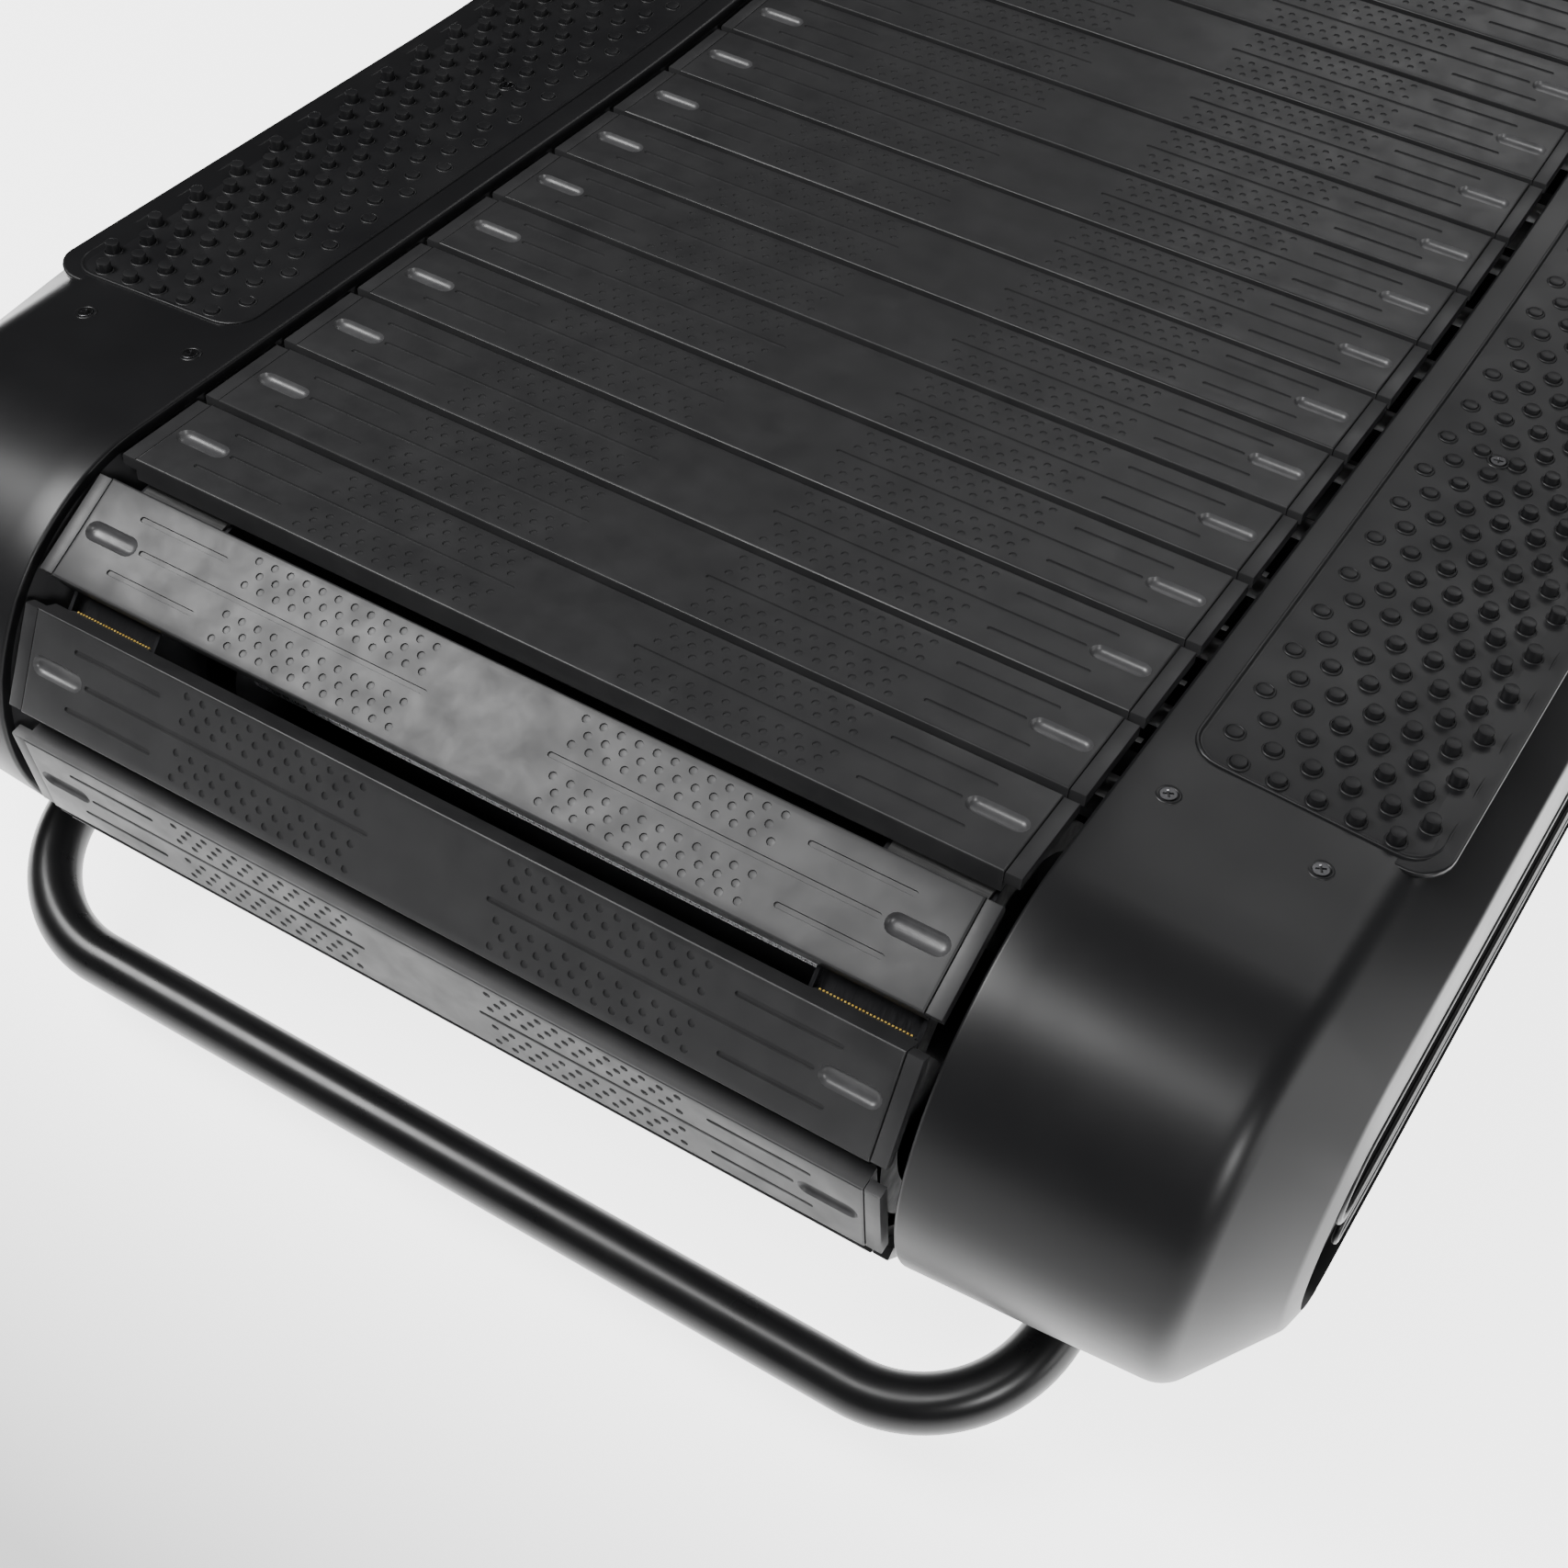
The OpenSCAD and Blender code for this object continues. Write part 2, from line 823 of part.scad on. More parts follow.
// The bend point, with Z along the leaning mast
module mast_frame() {
    translate([base_x, loop_at[1] + upright_y, upright_bend_z])
        rotate([upright_lean, 0, 0]) children();
}

// Cast joint between an upright and its mast, with a socket for each
module knuckles() {
    barrel_r = upright_r + 7;
    barrel_l = 2 * upright_r + 16;
    collar_r = upright_r + 4;
    collar_l = 54;
    color([0.07, 0.07, 0.075])
        both_sides()
            difference() {
                union() {
                    mast_frame() rotate([0, 90, 0]) cylinder(h = barrel_l, r = barrel_r, center = true);
                    mast_frame() cylinder(h = collar_l, r = collar_r);
                    mast_frame()
                        rotate([180 - upright_lean, 0, 0]) cylinder(h = collar_l, r = collar_r);
                }
                mast_frame() translate([0, 0, knuckle_seat]) cylinder(h = collar_l, r = upright_r);
                mast_frame()
                    rotate([180 - upright_lean, 0, 0])
                        translate([0, 0, knuckle_seat]) cylinder(h = collar_l, r = upright_r);
            }
}

module mast_right() {
    color([0.09, 0.09, 0.095]) mast();
}

module mast_left() {
    color([0.09, 0.09, 0.095]) mirror([1, 0, 0]) mast();
}

module upright_right() {
    color([0.09, 0.09, 0.095]) upright();
}

module upright_left() {
    color([0.09, 0.09, 0.095]) mirror([1, 0, 0]) upright();
}

// The solid round space that a mast fills
module mast_space() {
    mast_frame() cylinder(h = knuckle_seat + mast_l + 1, r = upright_r + seat);
}

// Level rail from the mast back towards the runner, with a turned-down end
module handrail() {
    translate([base_x, rail_y, handrail_at[1]])
        rotate([90, 0, 0]) tube(handrail_l, handrail_r, tube_wall);
    translate([base_x, rail_y - handrail_l, handrail_at[1] - rail_bend_r])
        rotate([90, 0, -90]) bend(rail_bend_r, handrail_r, tube_wall, 90);
}

module coped_handrail() {
    difference() {
        handrail();
        mast_space();
    }
}

module handrail_right() {
    color([0.09, 0.09, 0.095]) coped_handrail();
}

module handrail_left() {
    color([0.09, 0.09, 0.095]) mirror([1, 0, 0]) coped_handrail();
}

module grip() {
    grip_l = 240;
    grip_t = 3;
    grip_end = 8;
    translate([base_x, rail_y - handrail_l + grip_end + grip_l, handrail_at[1]])
        rotate([90, 0, 0])
            difference() {
                cylinder(h = grip_l, r = handrail_r + grip_t);
                translate([0, 0, -1]) cylinder(h = grip_l + 2, r = handrail_r);
            }
}

module grip_right() {
    color([0.03, 0.03, 0.03]) grip();
}

module grip_left() {
    color([0.03, 0.03, 0.03]) mirror([1, 0, 0]) grip();
}

// Plastic caps on the open tube ends
module end_caps() {
    plug_l = 14;
    bend_plug_l = 2;
    color([0.03, 0.03, 0.03])
        both_sides() {
            mast_frame()
                translate([0, 0, knuckle_seat + mast_l]) round_cap(upright_r, cap_t, plug_l);
            translate([base_x, rail_y - handrail_l - rail_bend_r, handrail_at[1] - rail_bend_r])
                rotate([180, 0, 0]) round_cap(handrail_r, cap_t, bend_plug_l);
            for (y = [base_start - cap_t, base_end])
                translate([base_x - base_w / 2, loop_at[1] + y, foot_h])
                    cube([base_w, cap_t, base_h]);
        }
}

module round_cap(r, cap_t, plug_l) {
    cylinder(h = cap_t, r = r);
    translate([0, 0, -plug_l]) cylinder(h = plug_l, r = r - tube_wall - seat);
}

module console_bar() {
    color([0.09, 0.09, 0.095])
        difference() {
            translate([-base_x, loop_at[1] + bar_at[0], bar_at[1]])
                rotate([0, 90, 0]) tube(2 * base_x, bar_r, tube_wall);
            both_sides() mast_space();
        }
}

// The console's frame: X across, Y up the face, Z out towards the runner
module console_frame() {
    translate([0, loop_at[1] + bar_at[0], bar_at[1]])
        rotate([90 - console_tilt, 0, 0])
            translate([0, 0, bar_r]) children();
}

module rounded_plate(w, h, t, r) {
    linear_extrude(t)
        union() {
            translate([-w / 2 + r, 0]) square([w - 2 * r, h]);
            translate([-w / 2, r]) square([w, h - 2 * r]);
            for (x = [-w / 2 + r, w / 2 - r], y = [r, h - r])
                translate([x, y]) circle(r);
        }
}

module console_housing() {
    color([0.07, 0.07, 0.075])
        console_frame()
            translate([0, -console_h / 3, back_t])
                rounded_plate(console_w, console_h, console_d - back_t, 18);
}

// Back plate with two saddles round the bar
module console_back() {
    saddle_w = 30;
    saddle_h = 34;
    saddle_d = 14;
    color([0.05, 0.05, 0.055])
        console_frame() {
            translate([0, -console_h / 3, 0]) rounded_plate(console_w, console_h, back_t, 18);
            for (x = [-console_w / 4, console_w / 4])
                difference() {
                    translate([x - saddle_w / 2, -saddle_h / 2, -saddle_d])
                        cube([saddle_w, saddle_h, saddle_d]);
                    translate([x - saddle_w, 0, -bar_r])
                        rotate([0, 90, 0]) cylinder(h = 2 * saddle_w, r = bar_r + seat);
                }
        }
}

module console_screen() {
    color([0.02, 0.02, 0.025])
        console_frame()
            translate([0, console_h * 0.1, console_d]) rounded_plate(console_w * 0.8, 90, 2, 6);
}

module console_keypad() {
    color([0.15, 0.15, 0.16])
        console_frame()
            translate([0, -console_h / 3 + 14, console_d]) rounded_plate(console_w * 0.6, 46, 1, 6);
}

module bottle_holder() {
    r = 42;
    wall = 3;
    h = 90;
    arm = 20;
    away = bar_r + r + 1;
    color([0.05, 0.05, 0.055])
        both_sides()
            translate([holder_x, loop_at[1] + bar_at[0] - away, bar_at[1] - h / 2])
                difference() {
                    union() {
                        cylinder(h = h, r = r);
                        translate([-arm / 2, 0, (h - arm) / 2]) cube([arm, away - bar_r / 2, arm]);
                    }
                    translate([0, 0, wall]) cylinder(h = h, r = r - wall);
                    translate([-arm, away, h / 2])
                        rotate([0, 90, 0]) cylinder(h = 2 * arm, r = bar_r + seat);
                }
}

side_cover_left();
side_cover_right();
side_panel_left();
side_panel_right();
foot_plate_left();
foot_plate_right();
cover_screws();
side_rail_left();
side_rail_right();
cross_tubes();
rear_shaft();
rear_pulley_left();
rear_pulley_right();
rear_bearings();
front_shaft();
front_pulley_left();
front_pulley_right();
front_bearings();
drive_belt_left();
drive_belt_right();
slats_deck();
slats_rear_turn();
slats_front_turn();
slats_return();
end_strips_left();
end_strips_right();
guide_bearings_left();
guide_bearings_right();
guide_bolts_left();
guide_bolts_right();
rear_handle();
handle_sockets();
base_rail_left();
base_rail_right();
base_cross_tubes();
rear_stands();
front_stands();
rubber_feet();
wheel_left();
wheel_right();
wheel_bolts();
upright_left();
upright_right();
knuckles();
mast_left();
mast_right();
handrail_left();
handrail_right();
grip_left();
grip_right();
end_caps();
console_bar();
console_housing();
console_back();
console_screen();
console_keypad();
bottle_holder();
front_shroud();
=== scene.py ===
"""Looks of the curved treadmill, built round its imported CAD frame.

X runs across the machine, Y forward to the console, Z up, in metres. The running belt's loop is
followed by the distance s along its pitch line, which starts where the rear ramp leaves the rear
roller. Heights over that line are called rises.
"""

import math

import bmesh
import bpy
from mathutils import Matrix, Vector
from mathutils.geometry import delaunay_2d_cdt


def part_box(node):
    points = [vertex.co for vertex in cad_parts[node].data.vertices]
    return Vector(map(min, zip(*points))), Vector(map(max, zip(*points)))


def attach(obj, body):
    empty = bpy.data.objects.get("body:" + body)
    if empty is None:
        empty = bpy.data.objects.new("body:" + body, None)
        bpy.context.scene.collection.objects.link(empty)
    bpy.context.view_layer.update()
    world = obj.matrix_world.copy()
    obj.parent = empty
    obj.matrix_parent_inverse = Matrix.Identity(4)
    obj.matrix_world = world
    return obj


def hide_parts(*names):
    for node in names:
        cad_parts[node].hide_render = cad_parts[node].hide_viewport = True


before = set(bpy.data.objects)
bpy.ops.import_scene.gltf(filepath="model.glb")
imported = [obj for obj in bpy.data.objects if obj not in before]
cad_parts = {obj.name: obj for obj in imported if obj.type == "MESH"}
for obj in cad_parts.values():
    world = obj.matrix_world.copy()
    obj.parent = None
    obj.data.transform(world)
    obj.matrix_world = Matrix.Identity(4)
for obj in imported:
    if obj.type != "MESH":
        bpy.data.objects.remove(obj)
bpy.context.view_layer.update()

MM = 0.001
BODY = "frame"

# ---- The loop that the slats follow ----

RAMP_SLOPE = math.radians(6.4)
FRONT_SLOPE = math.radians(25)
ROLLER_R = 97.5 * MM
RAMP_L = 0.4
DECK_R = 2.018
SLAT_COUNT = 62
SLAT_PHASE = -51.4 * MM
SLAT_GAP = 4.6 * MM


def middle(node):
    low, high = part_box(node)
    return (low + high) / 2


REAR_AXIS = middle("rear_shaft").yz
RAMP_OUT = Vector((math.sin(RAMP_SLOPE), math.cos(RAMP_SLOPE)))
RAMP_ALONG = Vector((math.cos(RAMP_SLOPE), -math.sin(RAMP_SLOPE)))
RAMP_START = REAR_AXIS + ROLLER_R * RAMP_OUT
DECK_CENTRE = RAMP_START + RAMP_L * RAMP_ALONG + DECK_R * RAMP_OUT
FRONT_AXIS = DECK_CENTRE + (DECK_R + ROLLER_R) * Vector(
    (math.sin(FRONT_SLOPE), -math.cos(FRONT_SLOPE))
)
RETURN_R = DECK_R + 2 * ROLLER_R
TOP_L = RAMP_L + DECK_R * (RAMP_SLOPE + FRONT_SLOPE)
WRAP_L = ROLLER_R * math.pi
RETURN_L = RETURN_R * (RAMP_SLOPE + FRONT_SLOPE)
LOOP_L = TOP_L + 2 * WRAP_L + RETURN_L + RAMP_L
PITCH = LOOP_L / SLAT_COUNT


def round_roller(axis, angle):
    return axis + ROLLER_R * Vector((math.cos(angle), math.sin(angle))), angle


def on_arc(radius, slope, turn):
    return DECK_CENTRE + radius * Vector((math.sin(slope), -math.cos(slope))), slope + turn


def on_loop(s):
    """Point (y, z) on the pitch line and the angle of its outward normal."""
    s = s % LOOP_L
    if s < RAMP_L:
        return RAMP_START + s * RAMP_ALONG, math.pi / 2 - RAMP_SLOPE
    if s < TOP_L:
        return on_arc(DECK_R, (s - RAMP_L) / DECK_R - RAMP_SLOPE, math.pi / 2)
    if s < TOP_L + WRAP_L:
        return round_roller(FRONT_AXIS, math.pi / 2 + FRONT_SLOPE - (s - TOP_L) / ROLLER_R)
    if s < TOP_L + WRAP_L + RETURN_L:
        return on_arc(
            RETURN_R, FRONT_SLOPE - (s - TOP_L - WRAP_L) / RETURN_R, -math.pi / 2
        )
    if s < LOOP_L - WRAP_L:
        return (
            RAMP_START - 2 * ROLLER_R * RAMP_OUT + (LOOP_L - WRAP_L - s) * RAMP_ALONG,
            -math.pi / 2 - RAMP_SLOPE,
        )
    return round_roller(
        REAR_AXIS, 1.5 * math.pi - RAMP_SLOPE - (s - LOOP_L + WRAP_L) / ROLLER_R
    )


def at(s, x, rise):
    """The point x across and rise out from the pitch line, at s."""
    point, angle = on_loop(s)
    return (x, point.x + rise * math.cos(angle), point.y + rise * math.sin(angle))


def turn_at(s):
    return on_loop(s)[1] - math.pi / 2


def ramped(points, value):
    """Straight-line steps through (place, height) pairs."""
    if value <= points[0][0]:
        return points[0][1]
    for (a, low), (b, high) in zip(points, points[1:]):
        if value <= b:
            return low + (high - low) * (value - a) / (b - a)
    return points[-1][1]


# ---- Materials ----


class Finish:
    """A material's node tree, with short calls for the nodes that the finishes share."""

    def __init__(self, name, colour, roughness, metallic=0.0, specular=0.5):
        self.material = bpy.data.materials.new(name)
        self.material.use_nodes = True
        self.tree = self.material.node_tree
        self.shader = self.tree.nodes["Principled BSDF"]
        self.shader.inputs["Base Color"].default_value = (*colour, 1)
        self.shader.inputs["Roughness"].default_value = roughness
        self.shader.inputs["Metallic"].default_value = metallic
        self.shader.inputs["Specular IOR Level"].default_value = specular
        self.place = self.add("ShaderNodeTexCoord").outputs["Object"]
        self.heights = None

    def add(self, kind, **values):
        node = self.tree.nodes.new(kind)
        for key, value in values.items():
            setattr(node, key, value)
        return node

    def link(self, a, b):
        self.tree.links.new(a, b)

    def stretched(self, scale):
        mapping = self.add("ShaderNodeMapping")
        mapping.inputs["Scale"].default_value = scale
        self.link(self.place, mapping.inputs["Vector"])
        return mapping.outputs["Vector"]

    def noise(self, scale, detail=3.0, stretch=None, distortion=0.0):
        node = self.add("ShaderNodeTexNoise")
        node.inputs["Scale"].default_value = scale
        node.inputs["Detail"].default_value = detail
        node.inputs["Distortion"].default_value = distortion
        self.link(self.stretched(stretch) if stretch else self.place, node.inputs["Vector"])
        return node.outputs["Fac"]

    def pits(self, scale):
        node = self.add("ShaderNodeTexVoronoi")
        node.inputs["Scale"].default_value = scale
        self.link(self.place, node.inputs["Vector"])
        return node.outputs["Distance"]

    def spread(self, value, low, high, start=0.3, end=0.7):
        node = self.add("ShaderNodeMapRange")
        node.inputs["From Min"].default_value = start
        node.inputs["From Max"].default_value = end
        node.inputs["To Min"].default_value = low
        node.inputs["To Max"].default_value = high
        self.link(value, node.inputs["Value"])
        return node.outputs["Result"]

    def tint(self, value, dark, light, start=0.3, end=0.7):
        node = self.add("ShaderNodeMix", data_type="RGBA")
        node.inputs["A"].default_value = (*dark, 1)
        node.inputs["B"].default_value = (*light, 1)
        self.link(self.spread(value, 0, 1, start, end), node.inputs["Factor"])
        self.link(node.outputs["Result"], self.shader.inputs["Base Color"])
        return self

    def tint_worn(self, value, dark, light, wear, worn):
        """As tint, and lighter where the edges are rubbed."""
        base = self.add("ShaderNodeMix", data_type="RGBA")
        base.inputs["A"].default_value = (*dark, 1)
        base.inputs["B"].default_value = (*light, 1)
        self.link(self.spread(value, 0, 1), base.inputs["Factor"])
        geometry = self.add("ShaderNodeNewGeometry")
        rubbed = self.add("ShaderNodeMix", data_type="RGBA")
        rubbed.inputs["B"].default_value = (*worn, 1)
        self.link(base.outputs["Result"], rubbed.inputs["A"])
        self.link(
            self.spread(geometry.outputs["Pointiness"], 0, wear, 0.52, 0.62),
            rubbed.inputs["Factor"],
        )
        self.link(rubbed.outputs["Result"], self.shader.inputs["Base Color"])
        return self

    def rough(self, value, low, high, start=0.3, end=0.7):
        self.link(self.spread(value, low, high, start, end), self.shader.inputs["Roughness"])
        return self

    def bump(self, value, strength, distance):
        node = self.add("ShaderNodeBump")
        node.inputs["Strength"].default_value = strength
        node.inputs["Distance"].default_value = distance
        self.link(value, node.inputs["Height"])
        if self.heights:
            self.link(self.heights, node.inputs["Normal"])
        self.heights = node.outputs["Normal"]
        self.link(self.heights, self.shader.inputs["Normal"])
        return self

    def coat(self, weight, roughness):
        self.shader.inputs["Coat Weight"].default_value = weight
        self.shader.inputs["Coat Roughness"].default_value = roughness
        return self


def moulded_slat():
    f = Finish("moulded slat rubber", (0.02, 0.02, 0.0205), 0.42, specular=0.4)
    clouds = f.noise(16, 6, distortion=0.6)
    grain = f.noise(1400, 3)
    f.tint(f.noise(45, 9), (0.022, 0.022, 0.023), (0.030, 0.030, 0.031))
    f.rough(f.noise(60, 10, distortion=0.3), 0.36, 0.48)
    f.bump(clouds, 0.015, 0.3 * MM)
    f.bump(f.noise(420, 6), 0.16, 0.06 * MM)
    return f.bump(grain, 0.16, 0.05 * MM).material


def polished_bowl():
    f = Finish("polished slat pocket", (0.05, 0.05, 0.052), 0.34, specular=0.6)
    f.tint(f.noise(80, 4), (0.045, 0.045, 0.047), (0.07, 0.07, 0.072))
    f.rough(f.noise(300, 3), 0.33, 0.42)
    return f.bump(f.noise(900, 2), 0.02, 0.03 * MM).material


def satin_cover():
    f = Finish("satin cover plastic", (0.008, 0.008, 0.009), 0.36, specular=0.42)
    f.tint(f.noise(5, 4), (0.007, 0.007, 0.0078), (0.010, 0.010, 0.0108))
    f.rough(f.noise(14, 5), 0.33, 0.41)
    f.bump(f.noise(260, 2), 0.03, 0.1 * MM)
    return f.bump(f.noise(2400, 2), 0.12, 0.03 * MM).material


def tread_plate():
    f = Finish("foot plate rubber", (0.010, 0.010, 0.011), 0.42, specular=0.42)
    f.tint(f.noise(11, 4), (0.008, 0.008, 0.009), (0.013, 0.013, 0.0138))
    f.rough(f.noise(30, 4), 0.36, 0.48)
    return f.bump(f.noise(1900, 2), 0.16, 0.04 * MM).material


def belt_cloth():
    f = Finish("drive belt rubber", (0.03, 0.03, 0.03), 0.7)
    ribs = f.noise(60, 2, stretch=(1, 14, 14))
    f.tint(ribs, (0.02, 0.02, 0.02), (0.05, 0.05, 0.05))
    f.rough(f.noise(90, 3), 0.6, 0.85)
    return f.bump(ribs, 0.4, 0.3 * MM).material


def cord_ends():
    f = Finish("belt cord ends", (0.9, 0.58, 0.06), 0.45)
    f.tint(f.noise(900, 2), (0.75, 0.42, 0.03), (1.0, 0.75, 0.2))
    return f.bump(f.noise(3000, 2), 0.3, 0.05 * MM).material


def powder_coat(name, colour, roughness):
    f = Finish(name, colour, roughness, specular=0.5)
    light = tuple(1.35 * c for c in colour)
    f.tint_worn(f.noise(7, 4), colour, light, 0.5, (0.14, 0.14, 0.145))
    f.rough(f.noise(40, 4), roughness - 0.05, roughness + 0.06)
    f.bump(f.noise(700, 2), 0.1, 0.08 * MM)
    return f.bump(f.pits(900), 0.06, 0.05 * MM).material


def gloss_tube():
    f = Finish("satin black tube paint", (0.006, 0.006, 0.0065), 0.3, specular=0.45)
    f.tint(f.noise(9, 3), (0.005, 0.005, 0.0055), (0.008, 0.008, 0.0085))
    f.rough(f.noise(35, 4), 0.26, 0.34)
    return f.bump(f.noise(500, 2), 0.04, 0.06 * MM).material


def steel(name, colour, low, high, stretch):
    f = Finish(name, colour, low, metallic=1.0)
    lines = f.noise(160, 4, stretch=stretch)
    f.tint(lines, tuple(0.78 * c for c in colour), colour)
    f.rough(lines, low, high)
    f.bump(lines, 0.1, 0.05 * MM)
    return f.bump(f.noise(55, 5), 0.04, 0.1 * MM).material


def soft_rubber(name, colour, roughness):
    f = Finish(name, colour, roughness)
    f.tint(f.noise(25, 4), tuple(0.8 * c for c in colour), tuple(1.4 * c for c in colour))
    f.rough(f.noise(60, 4), roughness - 0.08, roughness + 0.08)
    f.bump(f.noise(420, 3), 0.2, 0.15 * MM)
    return f.bump(f.noise(2200, 2), 0.15, 0.03 * MM).material


def foam_grip():
    f = Finish("grip foam", (0.022, 0.022, 0.023), 0.8)
    cells = f.pits(1100)
    f.tint(cells, (0.012, 0.012, 0.013), (0.034, 0.034, 0.036), 0.1, 0.7)
    f.shader.inputs["Sheen Weight"].default_value = 0.15
    return f.bump(cells, 0.5, 0.25 * MM).material


def dark_glass():
    f = Finish("dark screen glass", (0.006, 0.007, 0.009), 0.06)
    f.tint(f.noise(3, 2), (0.004, 0.005, 0.007), (0.010, 0.012, 0.015))
    f.rough(f.noise(18, 5), 0.04, 0.12)
    f.coat(0.6, 0.03)
    return f.bump(f.noise(6, 2), 0.01, 0.1 * MM).material


def cast_block():
    f = Finish("painted cast iron", (0.018, 0.018, 0.019), 0.6, specular=0.3)
    f.tint_worn(
        f.noise(30, 5), (0.013, 0.013, 0.014), (0.024, 0.024, 0.025), 0.4, (0.08, 0.08, 0.08)
    )
    f.bump(f.noise(180, 4), 0.35, 0.5 * MM)
    return f.bump(f.pits(400), 0.15, 0.2 * MM).material


SLAT = moulded_slat()
BOWL = polished_bowl()
COVER = satin_cover()
PLATE = tread_plate()
BELT = belt_cloth()
CORDS = cord_ends()
FRAME_PAINT = powder_coat("frame powder coat", (0.022, 0.022, 0.0235), 0.42)
HANDLE_PAINT = gloss_tube()
SCREW = steel("blackened screw steel", (0.11, 0.11, 0.115), 0.24, 0.38, (1, 1, 1))
BOLT = steel("zinc plated bolt steel", (0.55, 0.55, 0.56), 0.28, 0.45, (1, 1, 1))
BEARING = steel("ground bearing steel", (0.4, 0.4, 0.41), 0.2, 0.32, (1, 8, 8))
SHAFT = steel("turned shaft steel", (0.58, 0.58, 0.60), 0.2, 0.36, (12, 1, 1))
PULLEY = steel("darkened pulley metal", (0.045, 0.045, 0.048), 0.4, 0.55, (10, 1, 1))
BLOCK = cast_block()
RUBBER = soft_rubber("black foot rubber", (0.02, 0.02, 0.02), 0.75)
WHEEL = soft_rubber("wheel rubber", (0.03, 0.03, 0.032), 0.6)
FOAM = foam_grip()
GLASS = dark_glass()
KEYS = soft_rubber("keypad membrane", (0.05, 0.05, 0.054), 0.5)
HOUSING = soft_rubber("console moulding", (0.03, 0.03, 0.033), 0.45)


# ---- Mesh helpers ----


def shaded(mesh, angle=32):
    mesh.shade_smooth()
    mesh.set_sharp_from_angle(angle=math.radians(angle))


def mesh_of(name, points, faces, merge=0.0, outward=True):
    mesh = bpy.data.meshes.new(name)
    mesh.from_pydata(points, [], faces)
    work = bmesh.new()
    work.from_mesh(mesh)
    if merge:
        bmesh.ops.remove_doubles(work, verts=work.verts, dist=merge)
    if outward:
        bmesh.ops.recalc_face_normals(work, faces=work.faces)
    work.to_mesh(mesh)
    work.free()
    return mesh


def object_of(name, mesh, material, angle=32):
    mesh.materials.clear()
    mesh.materials.append(material)
    shaded(mesh, angle)
    piece = bpy.data.objects.new(name, mesh)
    bpy.context.scene.collection.objects.link(piece)
    return piece


def settle(piece, replaced=(), body=BODY):
    """Hands a finished piece to the frame."""
    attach(piece, body)
    if replaced:
        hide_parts(*replaced)
    return piece


def box_points(low, high):
    return [
        (x, y, z)
        for x in (low[0], high[0])
        for y in (low[1], high[1])
        for z in (low[2], high[2])
    ]


BOX_FACES = [
    (0, 1, 3, 2),
    (4, 6, 7, 5),
    (0, 4, 5, 1),
    (2, 3, 7, 6),
    (0, 2, 6, 4),
    (1, 5, 7, 3),
]


class Shape:
    """Points and faces gathered for one mesh."""

    def __init__(self):
        self.points = []
        self.faces = []

    def ring(self, points):
        start = len(self.points)
        self.points.extend(points)
        return list(range(start, len(self.points)))

    def join(self, a, b, closed=True):
        """Skins the stretch between two rings of equal count."""
        n = len(a)
        for i in range(n if closed else n - 1):
            j = (i + 1) % n
            self.faces.append((a[i], a[j], b[j], b[i]))

    def stack(self, rings, closed=True):
        """Adds rings one after another, skinned to each other, and returns the last."""
        last = None
        for points in rings:
            ring = self.ring(points)
            if last:
                self.join(last, ring, closed)
            last = ring
        return last

    def fan(self, ring, centre):
        middle_point = self.ring([centre])[0]
        for i in range(len(ring)):
            self.faces.append((ring[i], ring[(i + 1) % len(ring)], middle_point))

    def cap(self, ring):
        self.faces.append(tuple(ring))

    def box(self, low, high):
        start = len(self.points)
        self.points.extend(box_points(low, high))
        self.faces.extend([tuple(start + i for i in face) for face in BOX_FACES])

    def mesh(self, name, merge=0.0):
        return mesh_of(name, self.points, self.faces, merge)


# ---- Setting out repeated pieces ----


def setting_out_tree():
    """Puts one piece on every marked point, turned as the point says."""
    tree = bpy.data.node_groups.new("Set pieces on marks", "GeometryNodeTree")
    face = tree.interface
    face.new_socket("Geometry", in_out="INPUT", socket_type="NodeSocketGeometry")
    face.new_socket("Piece", in_out="INPUT", socket_type="NodeSocketObject")
    face.new_socket("Finish", in_out="INPUT", socket_type="NodeSocketMaterial")
    face.new_socket("Geometry", in_out="OUTPUT", socket_type="NodeSocketGeometry")
    add = tree.nodes.new
    link = tree.links.new
    given = add("NodeGroupInput")
    result = add("NodeGroupOutput")
    unit = add("GeometryNodeObjectInfo")
    turn = add("GeometryNodeInputNamedAttribute")
    turn.data_type = "FLOAT_VECTOR"
    turn.inputs["Name"].default_value = "turn"
    marks = add("GeometryNodeMeshToPoints")
    place = add("GeometryNodeInstanceOnPoints")
    whole = add("GeometryNodeRealizeInstances")
    finish = add("GeometryNodeSetMaterial")
    link(given.outputs["Geometry"], marks.inputs["Mesh"])
    link(given.outputs["Piece"], unit.inputs["Object"])
    link(marks.outputs["Points"], place.inputs["Points"])
    link(unit.outputs["Geometry"], place.inputs["Instance"])
    link(turn.outputs["Attribute"], place.inputs["Rotation"])
    link(place.outputs["Instances"], whole.inputs["Geometry"])
    link(whole.outputs["Geometry"], finish.inputs["Geometry"])
    link(given.outputs["Finish"], finish.inputs["Material"])
    link(finish.outputs["Geometry"], result.inputs["Geometry"])
    return tree


SETTING_OUT = setting_out_tree()


def set_input(modifier, name, value):
    for item in modifier.node_group.interface.items_tree:
        if item.item_type == "SOCKET" and item.in_out == "INPUT" and item.name == name:
            modifier[item.identifier] = value


